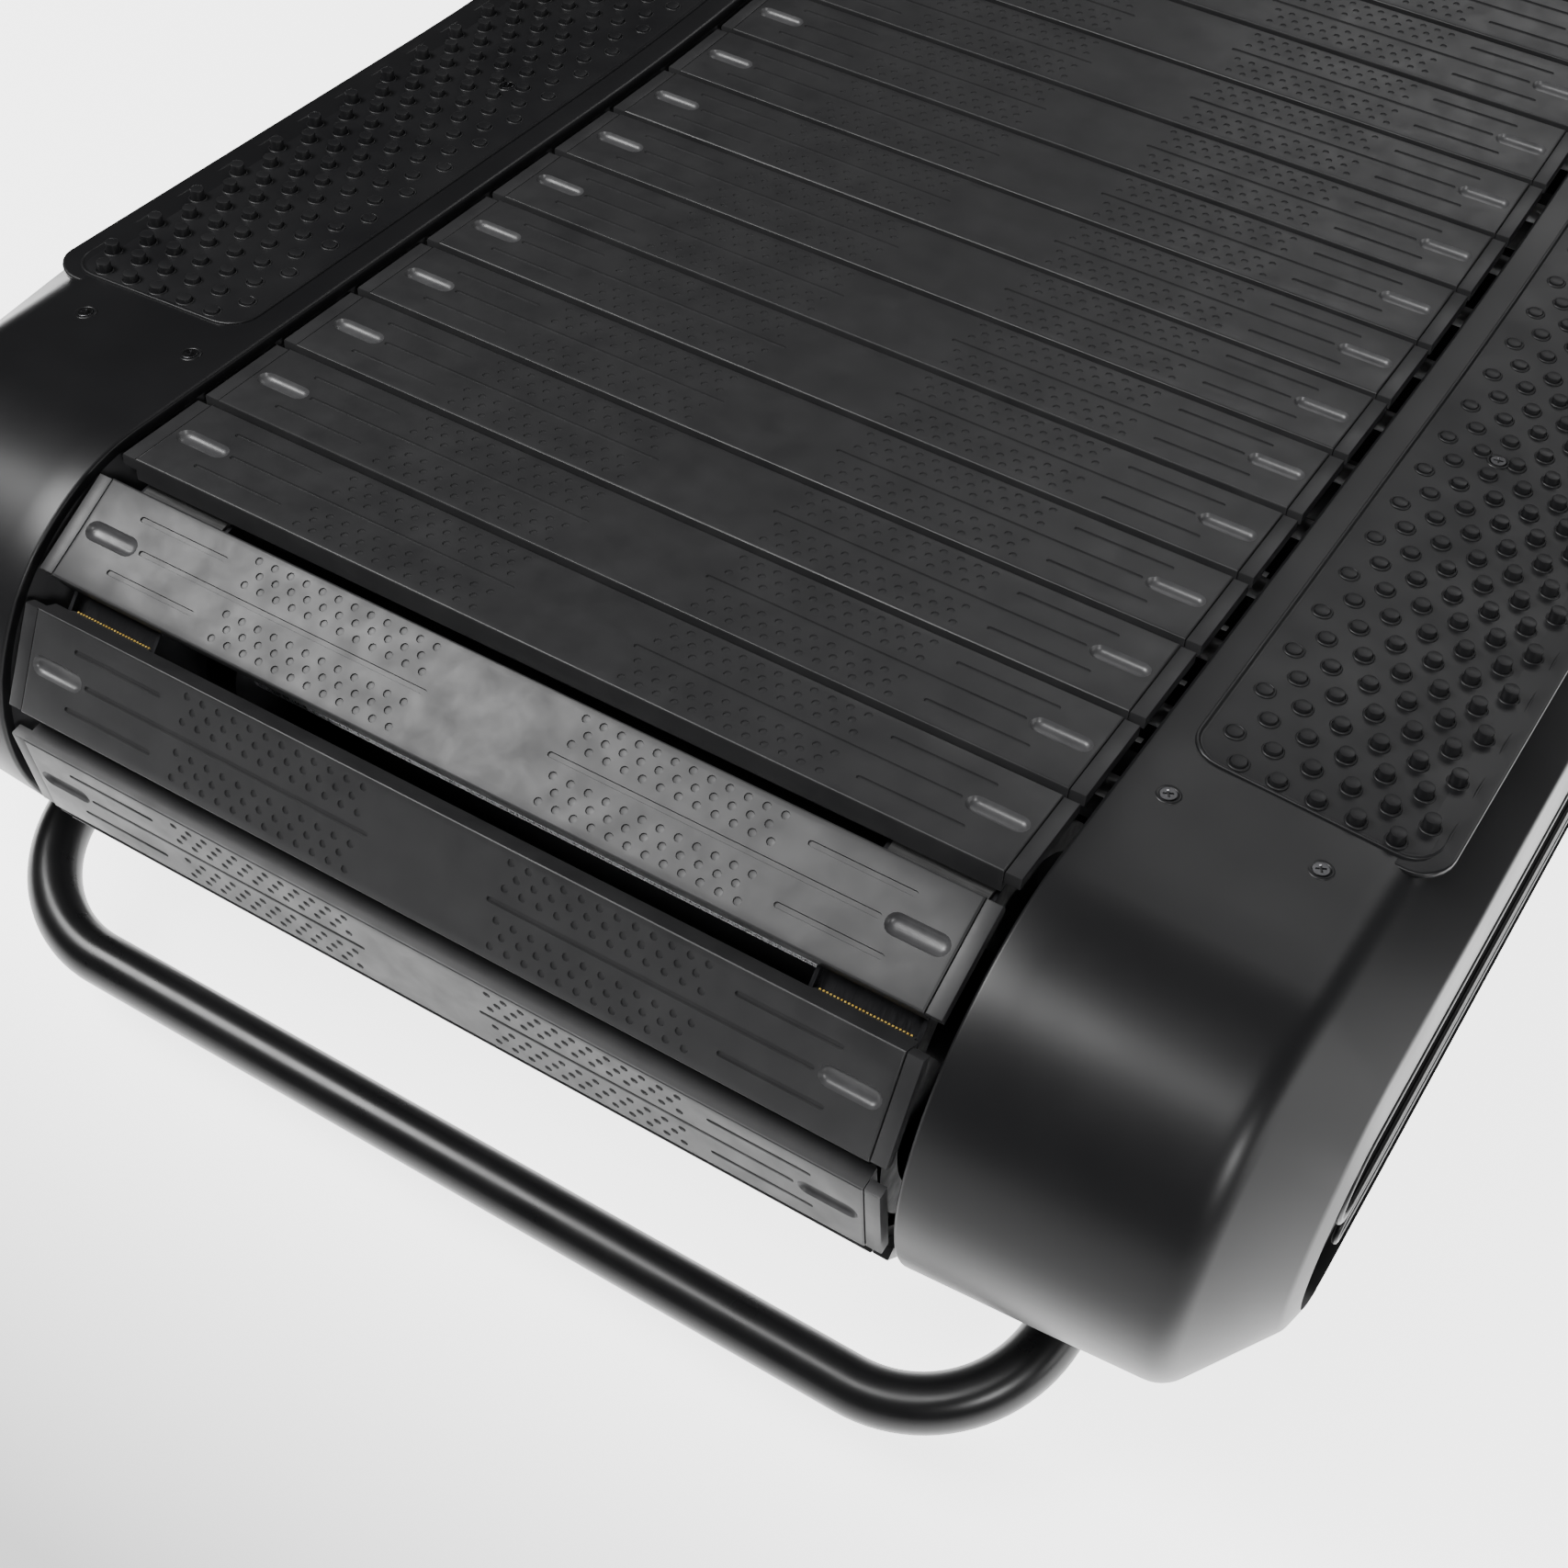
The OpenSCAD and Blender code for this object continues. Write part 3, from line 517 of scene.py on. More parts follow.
def set_out(name, unit, marks, material, angle=32):
    """One plain mesh with unit at every mark: (point, turn)."""
    host_mesh = bpy.data.meshes.new(name + "_marks")
    host_mesh.from_pydata([m[0] for m in marks], [], [])
    attribute = host_mesh.attributes.new("turn", "FLOAT_VECTOR", "POINT")
    attribute.data.foreach_set("vector", [v for m in marks for v in m[1]])
    host = bpy.data.objects.new(name + "_marks", host_mesh)
    bpy.context.scene.collection.objects.link(host)
    pattern = bpy.data.objects.new(name + "_unit", unit)
    bpy.context.scene.collection.objects.link(pattern)
    modifier = host.modifiers.new("Set out", "NODES")
    modifier.node_group = SETTING_OUT
    set_input(modifier, "Piece", pattern)
    set_input(modifier, "Finish", material)
    bpy.context.view_layer.update()
    seen = host.evaluated_get(bpy.context.evaluated_depsgraph_get())
    mesh = bpy.data.meshes.new_from_object(seen)
    mesh.name = name
    host.modifiers.clear()
    bpy.data.objects.remove(host)
    bpy.data.objects.remove(pattern)
    if "turn" in mesh.attributes:
        mesh.attributes.remove(mesh.attributes["turn"])
    return object_of(name, mesh, material, angle)


# ---- Slats ----

SLAT_HALF = 240 * MM
SLAT_LONG = (PITCH - SLAT_GAP) / 2
TREAD = 18.5 * MM
SLAT_DEEP = 12.5 * MM
SLAT_EDGE = 1.1 * MM
PATTERN_SHIFT = 0.6 * MM
POCKET_MID = 221.8 * MM
BELT_MID = 211 * MM
BELT_HALF_W = 25 * MM
BELT_HALF_T = 3 * MM


def stadium(half_l, half_w, sides):
    """Points round a slot with round ends, about the origin."""
    run = half_l - half_w
    points = []
    for end in (1, -1):
        for k in range(sides + 1):
            angle = -math.pi / 2 + math.pi * k / sides
            points.append((end * (run + half_w * math.cos(angle)), end * half_w * math.sin(angle)))
    return points


def circle(r, sides):
    return [
        (r * math.cos(2 * math.pi * k / sides), r * math.sin(2 * math.pi * k / sides))
        for k in range(sides)
    ]


def turned_mesh(name, profile, sides, capped=True):
    """A piece turned about Z from (radius, height) pairs in mm, closed at its last ring."""
    shape = Shape()
    last = shape.stack([(x, y, z * MM) for x, y in circle(r * MM, sides)] for r, z in profile)
    if capped:
        shape.cap(last)
    return shape.mesh(name)


def outer_triangles(cut):
    """The triangles of a cut plan that lie in its outline and in none of its holes."""
    return [face for face, owners in zip(cut[2], cut[5]) if all(owner == 0 for owner in owners)]


def slat_recesses():
    """Every hollow in a slat's tread: (middle, outlines from the rim down with their drops)."""
    found = []
    dimple_pitch = 9.45 * MM
    dimple = [(circle(2.05 * MM, 10), 0), (circle(1.8 * MM, 10), -0.7 * MM)]
    for row, first, count in (
        (21.3, 41.2, 12),
        (14.7, 46.0, 11),
        (8.1, 41.2, 12),
        (-8.1, 41.2, 12),
        (-14.7, 46.0, 11),
        (-21.3, 41.2, 12),
    ):
        for k in range(count):
            for side in (-1, 1):
                x = side * (first * MM + k * dimple_pitch)
                found.append(((x, row * MM + PATTERN_SHIFT), dimple, -0.95 * MM))
    for half_l, middle_x, row in ((85.5, 119, 0), (27, 187, 15.1), (27, 187, -15.1)):
        groove = [
            (stadium(half_l * MM, 1.4 * MM, 4), 0),
            (stadium((half_l - 0.2) * MM, 1.15 * MM, 4), -0.9 * MM),
        ]
        for side in (-1, 1):
            found.append(
                ((side * middle_x * MM, row * MM + PATTERN_SHIFT), groove, -0.9 * MM)
            )
    for side in (-1, 1):
        rim = [(stadium(15.5 * MM, 5.3 * MM, 8), 0)]
        found.append(((side * POCKET_MID, PATTERN_SHIFT), rim, None))
    return found


def pocket_mesh():
    """The smooth bowls near both ends of a slat."""
    shape = Shape()
    levels = (
        (15.5, 5.3, 0),
        (15.2, 5.0, 0.5),
        (14.7, 4.5, 1.4),
        (13.9, 3.7, 2.3),
        (12.7, 2.5, 2.9),
        (11.4, 1.2, 3.15),
    )
    for side in (-1, 1):
        last = shape.stack(
            [
                (side * POCKET_MID + x, PATTERN_SHIFT + y, TREAD - drop * MM)
                for x, y in stadium(half_l * MM, half_w * MM, 8)
            ]
            for half_l, half_w, drop in levels
        )
        shape.cap(last)
    mesh = mesh_of("pockets", shape.points, shape.faces, outward=False)
    look_up(mesh)
    return mesh


def look_up(mesh):
    """Turns an open dish so that its faces look out of its mouth."""
    work = bmesh.new()
    work.from_mesh(mesh)
    for face in work.faces:
        if face.normal.z < 0:
            face.normal_flip()
    work.to_mesh(mesh)
    work.free()


def rectangle(half_x, half_y, z):
    return [(-half_x, -half_y, z), (half_x, -half_y, z), (half_x, half_y, z), (-half_x, half_y, z)]


def slat_mesh():
    shape = Shape()
    recesses = slat_recesses()
    flat_x = SLAT_HALF - SLAT_EDGE
    flat_y = SLAT_LONG - SLAT_EDGE
    outline = [(-flat_x, -flat_y), (flat_x, -flat_y), (flat_x, flat_y), (-flat_x, flat_y)]
    plan = [Vector(p) for p in outline]
    loops = [[0, 1, 2, 3]]
    for (cx, cy), rings, _ in recesses:
        start = len(plan)
        plan.extend(Vector((cx + x, cy + y)) for x, y in rings[0][0])
        loops.append(list(range(start, len(plan))))
    cut = delaunay_2d_cdt(plan, [], loops, 1, 1e-7)
    top = shape.ring([(p.x, p.y, TREAD) for p in cut[0]])
    shape.faces.extend(tuple(top[i] for i in face) for face in outer_triangles(cut))
    for (cx, cy), rings, floor in recesses:
        last = shape.stack(
            [(cx + x, cy + y, TREAD + drop) for x, y in points] for points, drop in rings
        )
        if floor is None:
            continue
        if len(rings[0][0]) == 10:
            shape.fan(last, (cx, cy, TREAD + floor))
        else:
            shape.cap(last)
    sides = []
    for k in range(4):
        angle = math.pi / 2 * k / 3
        out = SLAT_EDGE * math.sin(angle)
        down = SLAT_EDGE * (1 - math.cos(angle))
        sides.append(rectangle(flat_x + out, flat_y + out, TREAD - down))
    sides.append(rectangle(SLAT_HALF, SLAT_LONG, TREAD - SLAT_DEEP))
    shape.cap(shape.stack(sides))
    return shape.mesh("slat", merge=0.002 * MM)


def foot_mesh():
    """The two feet that hold a slat on the drive belts."""
    shape = Shape()
    low = BELT_HALF_T + 0.1 * MM
    high = TREAD - SLAT_DEEP
    for side in (-1, 1):
        x = side * BELT_MID
        shape.box((x - 24 * MM, -10 * MM, low), (x + 24 * MM, 10 * MM, high))
        shape.box((x - 30 * MM, -3 * MM, low), (x + 30 * MM, 3 * MM, high))
    shape.box((-180 * MM, -2.5 * MM, low), (180 * MM, 2.5 * MM, high))
    return shape.mesh("feet")


def strip_mesh():
    """The narrow cap on each end of a slat, a little lower than its tread."""
    shape = Shape()
    inner = 240.25 * MM
    outer = 248.4 * MM
    long = SLAT_LONG - 0.4 * MM
    edge = 0.9 * MM
    top = TREAD - 0.5 * MM
    low = TREAD - 7 * MM
    for side in (-1, 1):
        rings = []
        for inset, rise in ((0, low), (0, top - edge), (0.3 * edge, top - 0.3 * edge), (edge, top)):
            rings.append(
                shape.ring(
                    [
                        (side * (inner + inset), -long + inset, rise),
                        (side * (outer - inset), -long + inset, rise),
                        (side * (outer - inset), long - inset, rise),
                        (side * (inner + inset), long - inset, rise),
                    ]
                )
            )
        for a, b in zip(rings, rings[1:]):
            shape.join(a, b)
        shape.cap(rings[0])
        shape.cap(rings[-1])
    return shape.mesh("strips")


def slat_marks(places):
    return [(at(s, 0, 0), (turn_at(s), 0, 0)) for s in places]


def stretch_of(s):
    if s < TOP_L:
        return "slats_deck"
    if s < TOP_L + WRAP_L:
        return "slats_front_turn"
    if s < LOOP_L - WRAP_L:
        return "slats_return"
    return "slats_rear_turn"


def lay_slats():
    unit = slat_mesh()
    feet = foot_mesh()
    strips = strip_mesh()
    places = {}
    for i in range(SLAT_COUNT):
        s = (SLAT_PHASE + i * PITCH) % LOOP_L
        places.setdefault(stretch_of(s), []).append(s)
    for node, row in places.items():
        row.sort()
        parts = max(1, math.ceil(len(row) / 14))
        for k in range(parts):
            share = row[k * len(row) // parts : (k + 1) * len(row) // parts]
            name = node + "_" + str(k + 1)
            piece = set_out(name, unit.copy(), slat_marks(share), SLAT, 30)
            settle(piece, (node,))
    every = [s for row in places.values() for s in row]
    settle(set_out("slat_feet", feet, slat_marks(every), BELT))
    bowls = set_out("slat_pockets", pocket_mesh(), slat_marks(every), BOWL, 60)
    settle(bowls)
    piece = set_out("slat_end_strips", strips, slat_marks(every), SLAT, 40)
    settle(piece, ("end_strips_left", "end_strips_right"))


lay_slats()

# ---- Side covers ----

COVER_IN = 255.1 * MM
CREASE = 380.1 * MM
COVER_OUT = 418.1 * MM
REAR_WRAP = math.radians(164)
LEDGE = 397 * MM
LEDGE_FROM = 0.086
PLATE_IN = 273.3 * MM
PLATE_OUT = 388 * MM
PLATE_FROM = 0.094
PLATE_TO = TOP_L - 0.092


def top_rise(x):
    """Height of a cover's top over the pitch line."""
    return ramped(
        (
            (255 * MM, 19.6 * MM),
            (285 * MM, 18.0 * MM),
            (313 * MM, 16.6 * MM),
            (352 * MM, 14.2 * MM),
            (380 * MM, 12.5 * MM),
        ),
        x,
    )


def bevel_edge(s):
    """The bevel's lower edge, (x, rise): shallow along the deck, deeper round both rollers."""
    near = min(s, TOP_L - s)
    return Vector(
        (
            ramped(((-0.02, 414.5 * MM), (0.1, 416 * MM)), near),
            ramped(((-0.06, -33 * MM), (0.0, -22 * MM), (0.13, -8 * MM)), near),
        )
    )


def cover_section(s):
    """The cover's outline across at s, from the inner lip to the skirt: (x, rise) pairs."""
    pairs = [(COVER_IN + 4 * MM, 11 * MM), (COVER_IN, 13 * MM), (COVER_IN, 17.6 * MM)]
    for k in range(1, 5):
        angle = math.pi / 2 * k / 4
        pairs.append(
            (
                COVER_IN + 2 * MM * (1 - math.cos(angle)),
                17.6 * MM + (top_rise(COVER_IN + 2 * MM) - 17.6 * MM) * math.sin(angle),
            )
        )
    for x in (273, 285, 299, 313, 326, 339, 352, 362, 368):
        pairs.append((x * MM, top_rise(x * MM)))
    corner = Vector((CREASE, top_rise(CREASE)))
    bottom = bevel_edge(s)
    down = (bottom - corner).normalized()
    start = Vector((CREASE - 9 * MM, top_rise(CREASE - 9 * MM)))
    end = corner + 9 * MM * down
    for k in range(7):
        t = k / 6
        p = (1 - t) ** 2 * start + 2 * t * (1 - t) * corner + t**2 * end
        pairs.append((p.x, p.y))
    skirt_end = Vector((COVER_OUT, -45 * MM))
    steep = (skirt_end - bottom).normalized()
    start = bottom - 2 * MM * down
    end = bottom + 2 * MM * steep
    for k in range(5):
        t = k / 4
        p = (1 - t) ** 2 * start + 2 * t * (1 - t) * bottom + t**2 * end
        pairs.append((p.x, p.y))
    for t in (0.4, 0.75, 1.0):
        p = end.lerp(skirt_end, t)
        pairs.append((p.x, p.y))
    pairs.append((COVER_OUT - 3 * MM, -45 * MM))
    return pairs


def cover_stations():
    wrap = ROLLER_R * REAR_WRAP
    steps = [-wrap + wrap * k / 46 for k in range(46)]
    steps += [RAMP_L * k / 16 for k in range(16)]
    steps += [RAMP_L + (TOP_L - RAMP_L) * k / 44 for k in range(44)]
    steps += [TOP_L + wrap * k / 46 for k in range(47)]
    return steps


def cover_shell(side):
    shape = Shape()
    shape.stack(
        ([at(s, side * x, rise) for x, rise in cover_section(s)] for s in cover_stations()),
        closed=False,
    )
    return shape.mesh("cover")


def mirrored(side):
    return "right" if side > 0 else "left"


def thicken(piece, thickness):
    solid = piece.modifiers.new("Wall", "SOLIDIFY")
    solid.thickness = thickness
    solid.offset = -1
    seen = piece.evaluated_get(bpy.context.evaluated_depsgraph_get())
    mesh = bpy.data.meshes.new_from_object(seen)
    piece.modifiers.clear()
    piece.data = mesh


def point_outward(mesh, side):
    """Turns the shell so that its faces look away from the machine's middle."""
    work = bmesh.new()
    work.from_mesh(mesh)
    bmesh.ops.recalc_face_normals(work, faces=work.faces)
    work.faces.ensure_lookup_table()
    probe = max(work.faces, key=lambda f: side * f.calc_center_median().x)
    if probe.normal.x * side < 0:
        bmesh.ops.reverse_faces(work, faces=work.faces)
    work.to_mesh(mesh)
    work.free()


def build_covers():
    for side in (-1, 1):
        mesh = cover_shell(side)
        point_outward(mesh, side)
        piece = object_of("side_cover_shell_" + mirrored(side), mesh, COVER, 40)
        thicken(piece, 2.5 * MM)
        piece.data.materials.clear()
        piece.data.materials.append(COVER)
        settle(piece, ("side_cover_" + mirrored(side),))


build_covers()


def deck_line(from_s, to_s, step):
    count = max(2, math.ceil((to_s - from_s) / step))
    return [from_s + (to_s - from_s) * k / count for k in range(count + 1)]


# ---- Ledges and foot plates ----


def rounded_plan(x0, x1, s0, s1, r, steps=6):
    """A rounded rectangle in the cover's own plan: (x, s) points, its long sides cut fine."""
    points = []
    corners = ((x1 - r, s0 + r, -90), (x1 - r, s1 - r, 0), (x0 + r, s1 - r, 90), (x0 + r, s0 + r, 180))
    for k, (cx, cs, first) in enumerate(corners):
        for j in range(steps + 1):
            a = math.radians(first + 90 * j / steps)
            points.append((cx + r * math.cos(a), cs + r * math.sin(a)))
        if k == 0:
            points += [(x1, s) for s in deck_line(s0 + r, s1 - r, 0.035)[1:-1]]
        if k == 2:
            points += [(x0, s) for s in deck_line(s0 + r, s1 - r, 0.035)[1:-1][::-1]]
    return points


def inset_plan(x0, x1, s0, s1, r, inset):
    return rounded_plan(x0 + inset, x1 - inset, s0 + inset, s1 - inset, max(r - inset, 1 * MM))


def plate_rise(x):
    return top_rise(x) + 0.3 * MM


def foot_plate_mesh(side):
    """A foot plate with its raised rim line, following the deck's curve."""
    shape = Shape()
    ends = (PLATE_IN, PLATE_OUT, PLATE_FROM, PLATE_TO, 15 * MM)
    steps = (
        (-2.4, -3.0),
        (-2.3, 0.4),
        (-1.9, 0.85),
        (-1.3, 0.95),
        (-0.7, 0.6),
        (-0.4, 0.0),
        (0.1, -0.25),
        (0.9, -0.15),
        (2.0, 0.0),
    )
    last = shape.stack(
        [at(s, side * x, plate_rise(x) + lift * MM) for x, s in inset_plan(*ends, inset * MM)]
        for inset, lift in steps
    )
    return shape, last, inset_plan(*ends, 2 * MM)


def closed_flat(shape, ring, plan, inner, side, rise_of):
    """Fills an outline with triangles laid over the curved top, through the inner points."""
    flat = [Vector((x, s)) for x, s in plan] + inner
    cut = delaunay_2d_cdt(flat, [], [list(range(len(plan)))], 1, 1e-7)
    numbers = []
    for p, source in zip(cut[0], cut[3]):
        if source and source[0] < len(plan):
            numbers.append(ring[source[0]])
        else:
            numbers.append(shape.ring([at(p.y, side * p.x, rise_of(p.x))])[0])
    shape.faces.extend(tuple(numbers[i] for i in face) for face in cut[2])


def peg_mesh():
    """A round stud 7 mm tall, its top edge rounded."""
    profile = ((3.95, 0.0), (3.85, 6.55), (3.7, 6.88), (3.35, 7.0))
    return turned_mesh("peg", profile, 16)


def peg_foot_mesh():
    """The rounded collar that a stud stands in."""
    profile = ((5.45, -0.4), (5.4, 0.25), (5.15, 0.62), (4.75, 0.8), (4.35, 0.66), (4.1, 0.2))
    return turned_mesh("peg_foot", profile, 18)


def pegs(side):
    """Staggered rows of studs whose tops stay level while the plate falls away."""
    marks = []
    feet = []
    row_step = 16.95 * MM
    first = 0.0995
    rows = int((PLATE_TO - 0.006 - first) / row_step) + 1
    for row in range(rows):
        s = first + row * row_step
        for k in range(11):
            if (k + row) % 2 == 0:
                continue
            x = (285.3 + 9.45 * k) * MM
            height = ramped(((285 * MM, 1.3 * MM), (380 * MM, 6.3 * MM)), x)
            base = plate_rise(x)
            turn = (turn_at(s), 0, 0)
            marks.append((at(s, side * x, base + height - 7 * MM), turn))
            feet.append((at(s, side * x, base), turn))
    return marks, feet


def build_foot_plates():
    for side in (-1, 1):
        label = mirrored(side)
        shape, last, plan = foot_plate_mesh(side)
        rows = deck_line(PLATE_FROM + 0.02, PLATE_TO - 0.02, 0.035)
        width = PLATE_OUT - PLATE_IN
        inner = [Vector((PLATE_IN + width * k / 4, s)) for s in rows for k in range(1, 4)]
        closed_flat(shape, last, plan, inner, side, plate_rise)
        mesh = shape.mesh("plate")
        piece = object_of("foot_plate_skin_" + label, mesh, PLATE, 40)
        settle(piece, ("foot_plate_" + label,))
        marks, feet = pegs(side)
        studs = set_out("foot_plate_studs_" + label, peg_mesh(), marks, PLATE, 30)
        settle(studs)
        rings = set_out("stud_rings_" + label, peg_foot_mesh(), feet, PLATE, 50)
        settle(rings)


build_foot_plates()


def ledge_mesh(side):
    """The raised outer border of a foot plate, overhanging the bevel."""
    shape = Shape()
    ends = (330 * MM, LEDGE, LEDGE_FROM, TOP_L - LEDGE_FROM, 16 * MM)
    steps = (
        (9, -3.2),
        (0.6, -3.2),
        (0.1, -2.6),
        (0.0, -1.2),
        (0.25, -0.5),
        (0.8, -0.12),
        (1.6, 0),
    )
    last = shape.stack(
        [at(s, side * x, ledge_rise(x) + lift * MM) for x, s in inset_plan(*ends, inset * MM)]
        for inset, lift in steps
    )
    return shape, last, inset_plan(*ends, 1.6 * MM)


def ledge_rise(x):
    """Sinks under the foot plate's edge on its inner side, stands clear of the bevel outside."""
    return ramped(
        (
            (330 * MM, top_rise(330 * MM) - 2 * MM),
            (372 * MM, top_rise(372 * MM) - 0.6 * MM),
            (384 * MM, top_rise(380 * MM) + 0.1 * MM),
            (389.5 * MM, 13.5 * MM),
            (397 * MM, 15.2 * MM),
        ),
        x,
    )


def build_ledges():
    for side in (-1, 1):
        shape, last, plan = ledge_mesh(side)
        rows = deck_line(LEDGE_FROM + 0.03, TOP_L - LEDGE_FROM - 0.03, 0.035)
        inner = [Vector((x * MM, s)) for s in rows for x in (352, 372, 384, 389.5)]
        closed_flat(shape, last, plan, inner, side, ledge_rise)
        piece = object_of("foot_plate_ledge_" + mirrored(side), shape.mesh("ledge"), COVER, 40)
        settle(piece)


build_ledges()

# ---- Side panels ----


def loop_outline(rise):
    """The closed outline at one rise over the pitch line, as (y, z) points."""
    spans = ((0, RAMP_L, 12), (RAMP_L, TOP_L, 40), (TOP_L, TOP_L + WRAP_L, 40),
             (TOP_L + WRAP_L, TOP_L + WRAP_L + RETURN_L, 40),
             (TOP_L + WRAP_L + RETURN_L, LOOP_L - WRAP_L, 12), (LOOP_L - WRAP_L, LOOP_L, 40))
    points = []
    for a, b, n in spans:
        for k in range(n):
            p = at(a + (b - a) * k / n, 0, rise)
            points.append((p[1], p[2]))
    return points


def groove_outline(high, low):
    """The long slot in a side panel, following the deck, with round ends."""
    r = (high - low) / 2
    mid = (high + low) / 2
    first = -0.006
    last = TOP_L + 0.006
    points = [ahead(s, high) for s in deck_line(first, last, 0.03)]
    points += [rounded_end(last, mid, r, 90 - 180 * k / 10) for k in range(1, 10)]
    points += [ahead(s, low) for s in deck_line(first, last, 0.03)[::-1]]
    points += [rounded_end(first, mid, r, -90 - 180 * k / 10) for k in range(1, 10)]
    return points


def ahead(s, rise):
    """As at(), but the ramp and the deck run straight on past both rollers: (y, z)."""
    if s < 0:
        p = RAMP_START + s * RAMP_ALONG + rise * RAMP_OUT
        return (p.x, p.y)
    if s > TOP_L:
        start = at(TOP_L - 1e-6, 0, rise)
        over = s - TOP_L
        return (start[1] + over * math.cos(FRONT_SLOPE), start[2] + over * math.sin(FRONT_SLOPE))
    p = at(min(s, TOP_L - 1e-6), 0, rise)
    return (p[1], p[2])


def rounded_end(s, rise, r, degrees):
    """A point on the round end of a slot, turned with the deck's slope there."""
    slope = -RAMP_SLOPE if s < 0 else FRONT_SLOPE
    centre = ahead(s, rise)
    a = math.radians(degrees) + slope
    return (centre[0] + r * math.cos(a), centre[1] + r * math.sin(a))


def side_panel_mesh(side):
    shape = Shape()
    face_x = COVER_OUT - 0.1 * MM
    rim = loop_outline(-45.4 * MM)
    grooves = []
    for high, low in ((-49.5, -92.5), (-109.0, -112.5)):
        grooves.append((groove_outline(high * MM, low * MM), high, low))
    flat = [Vector(p) for p in rim]
    loops = [list(range(len(rim)))]
    for outline, _, _ in grooves:
        start = len(flat)
        flat.extend(Vector(p) for p in outline)
        loops.append(list(range(start, len(flat))))
    cut = delaunay_2d_cdt(flat, [], loops, 1, 1e-7)
    numbers = shape.ring([(side * face_x, p.x, p.y) for p in cut[0]])
    shape.faces.extend(tuple(numbers[i] for i in tri) for tri in outer_triangles(cut))
    for outline, high, low in grooves:
        depth = 4.5 * MM if high - low > 10 else 1.2 * MM
        edge = shape.ring([(side * face_x, y, z) for y, z in outline])
        floor = shape.ring([(side * (face_x - depth), y, z) for y, z in outline])
        shape.join(edge, floor)
        bed = delaunay_2d_cdt([Vector(p) for p in outline], [], [list(range(len(outline)))], 1, 1e-7)
        for tri in bed[2]:
            shape.faces.append(tuple(floor[bed[3][i][0]] for i in tri))
    back = shape.ring([(side * (face_x - 6 * MM), y, z) for y, z in rim])
    front = shape.ring([(side * face_x, y, z) for y, z in rim])
    shape.join(front, back)
    bed = delaunay_2d_cdt([Vector(p) for p in rim], [], [list(range(len(rim)))], 1, 1e-7)
    for tri in bed[2]:
        shape.faces.append(tuple(back[bed[3][i][0]] for i in tri))
    return shape.mesh("panel", merge=0.01 * MM)


def build_panels():
    for side in (-1, 1):
        label = mirrored(side)
        piece = object_of("side_panel_skin_" + label, side_panel_mesh(side), COVER, 30)
        replaced = "side_panel_" + label
        settle(piece, (replaced,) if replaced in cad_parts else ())


build_panels()


def bead_mesh(side):
    """Rounded lips round the panel's long recess and along its lower edge."""
    x = side * (COVER_OUT - 0.5 * MM)
    shape = Shape()
    for high, low, r in ((-48.2, -93.8, 1.7), (-104.0, -117.5, 1.5)):
        path = [Vector((x, y, z)) for y, z in groove_outline(high * MM, low * MM)]
        rings = tube_rings(shape, path, r * MM, 8, True)
        for a, b in zip(rings, rings[1:] + rings[:1]):
            shape.join(a, b)
    return shape.mesh("beads")


def tube_rings(shape, path, r, sides, closed):
    """Rings square to a path, kept from twisting."""
    rings = []
    up = None
    count = len(path)
    for i, p in enumerate(path):
        before = path[i - 1] if closed or i else p
        after = path[(i + 1) % count] if closed or i + 1 < count else p
        run = (after - before).normalized()
        if up is None:
            up = Vector((1, 0, 0)) if abs(run.x) < 0.5 else run.orthogonal()
        up = (up - run * up.dot(run)).normalized()
        other = run.cross(up)
        rings.append(shape.ring([tuple(p + u * up + w * other) for u, w in circle(r, sides)]))
    return rings


def build_beads():
    for side in (-1, 1):
        label = mirrored(side)
        piece = object_of("side_panel_lips_" + label, bead_mesh(side), COVER, 60)
        settle(piece)


build_beads()

# ---- Drive belts, with the splice that shows between two slats ----

SPLICE_FROM = math.radians(119)
SPLICE_TO = math.radians(135.0)


def belt_mesh(side):
    """A flat belt as one open band, its two cut ends at the splice over the rear roller."""
    start = LOOP_L - (SPLICE_TO - (math.pi / 2 - RAMP_SLOPE)) * ROLLER_R
    end = LOOP_L - (SPLICE_FROM - (math.pi / 2 - RAMP_SLOPE)) * ROLLER_R
    length = LOOP_L - (end - start)
    steps = 420
    shape = Shape()
    corners = ((-1, -1), (1, -1), (1, 1), (-1, 1))
    places = [(end + length * k / steps) % LOOP_L for k in range(steps + 1)]
    shape.cap(range(len(corners)))
    last = shape.stack(
        [at(s, side * (BELT_MID + u * BELT_HALF_W), w * BELT_HALF_T) for u, w in corners]
        for s in places
    )
    shape.cap(last)
    return shape.mesh("belt"), start


def build_belts():
    for side in (-1, 1):
        label = mirrored(side)
        cord = turned_mesh("cord", ((0.56, 0.0), (0.56, 0.4), (0.35, 0.6)), 8)
        mesh, cut_s = belt_mesh(side)
        piece = object_of("drive_belt_band_" + label, mesh, BELT, 40)
        settle(piece, ("drive_belt_" + label,))
        marks = []
        for k in range(26):
            x = side * (BELT_MID + (1.8 * k - 22.5) * MM)
            point = at(cut_s, x, -0.4 * MM)
            marks.append((point, (turn_at(cut_s) - math.pi / 2, 0, 0)))
        dots = set_out("belt_cord_ends_" + label, cord, marks, CORDS, 30)
        settle(dots)


build_belts()

# ---- Cover screws ----


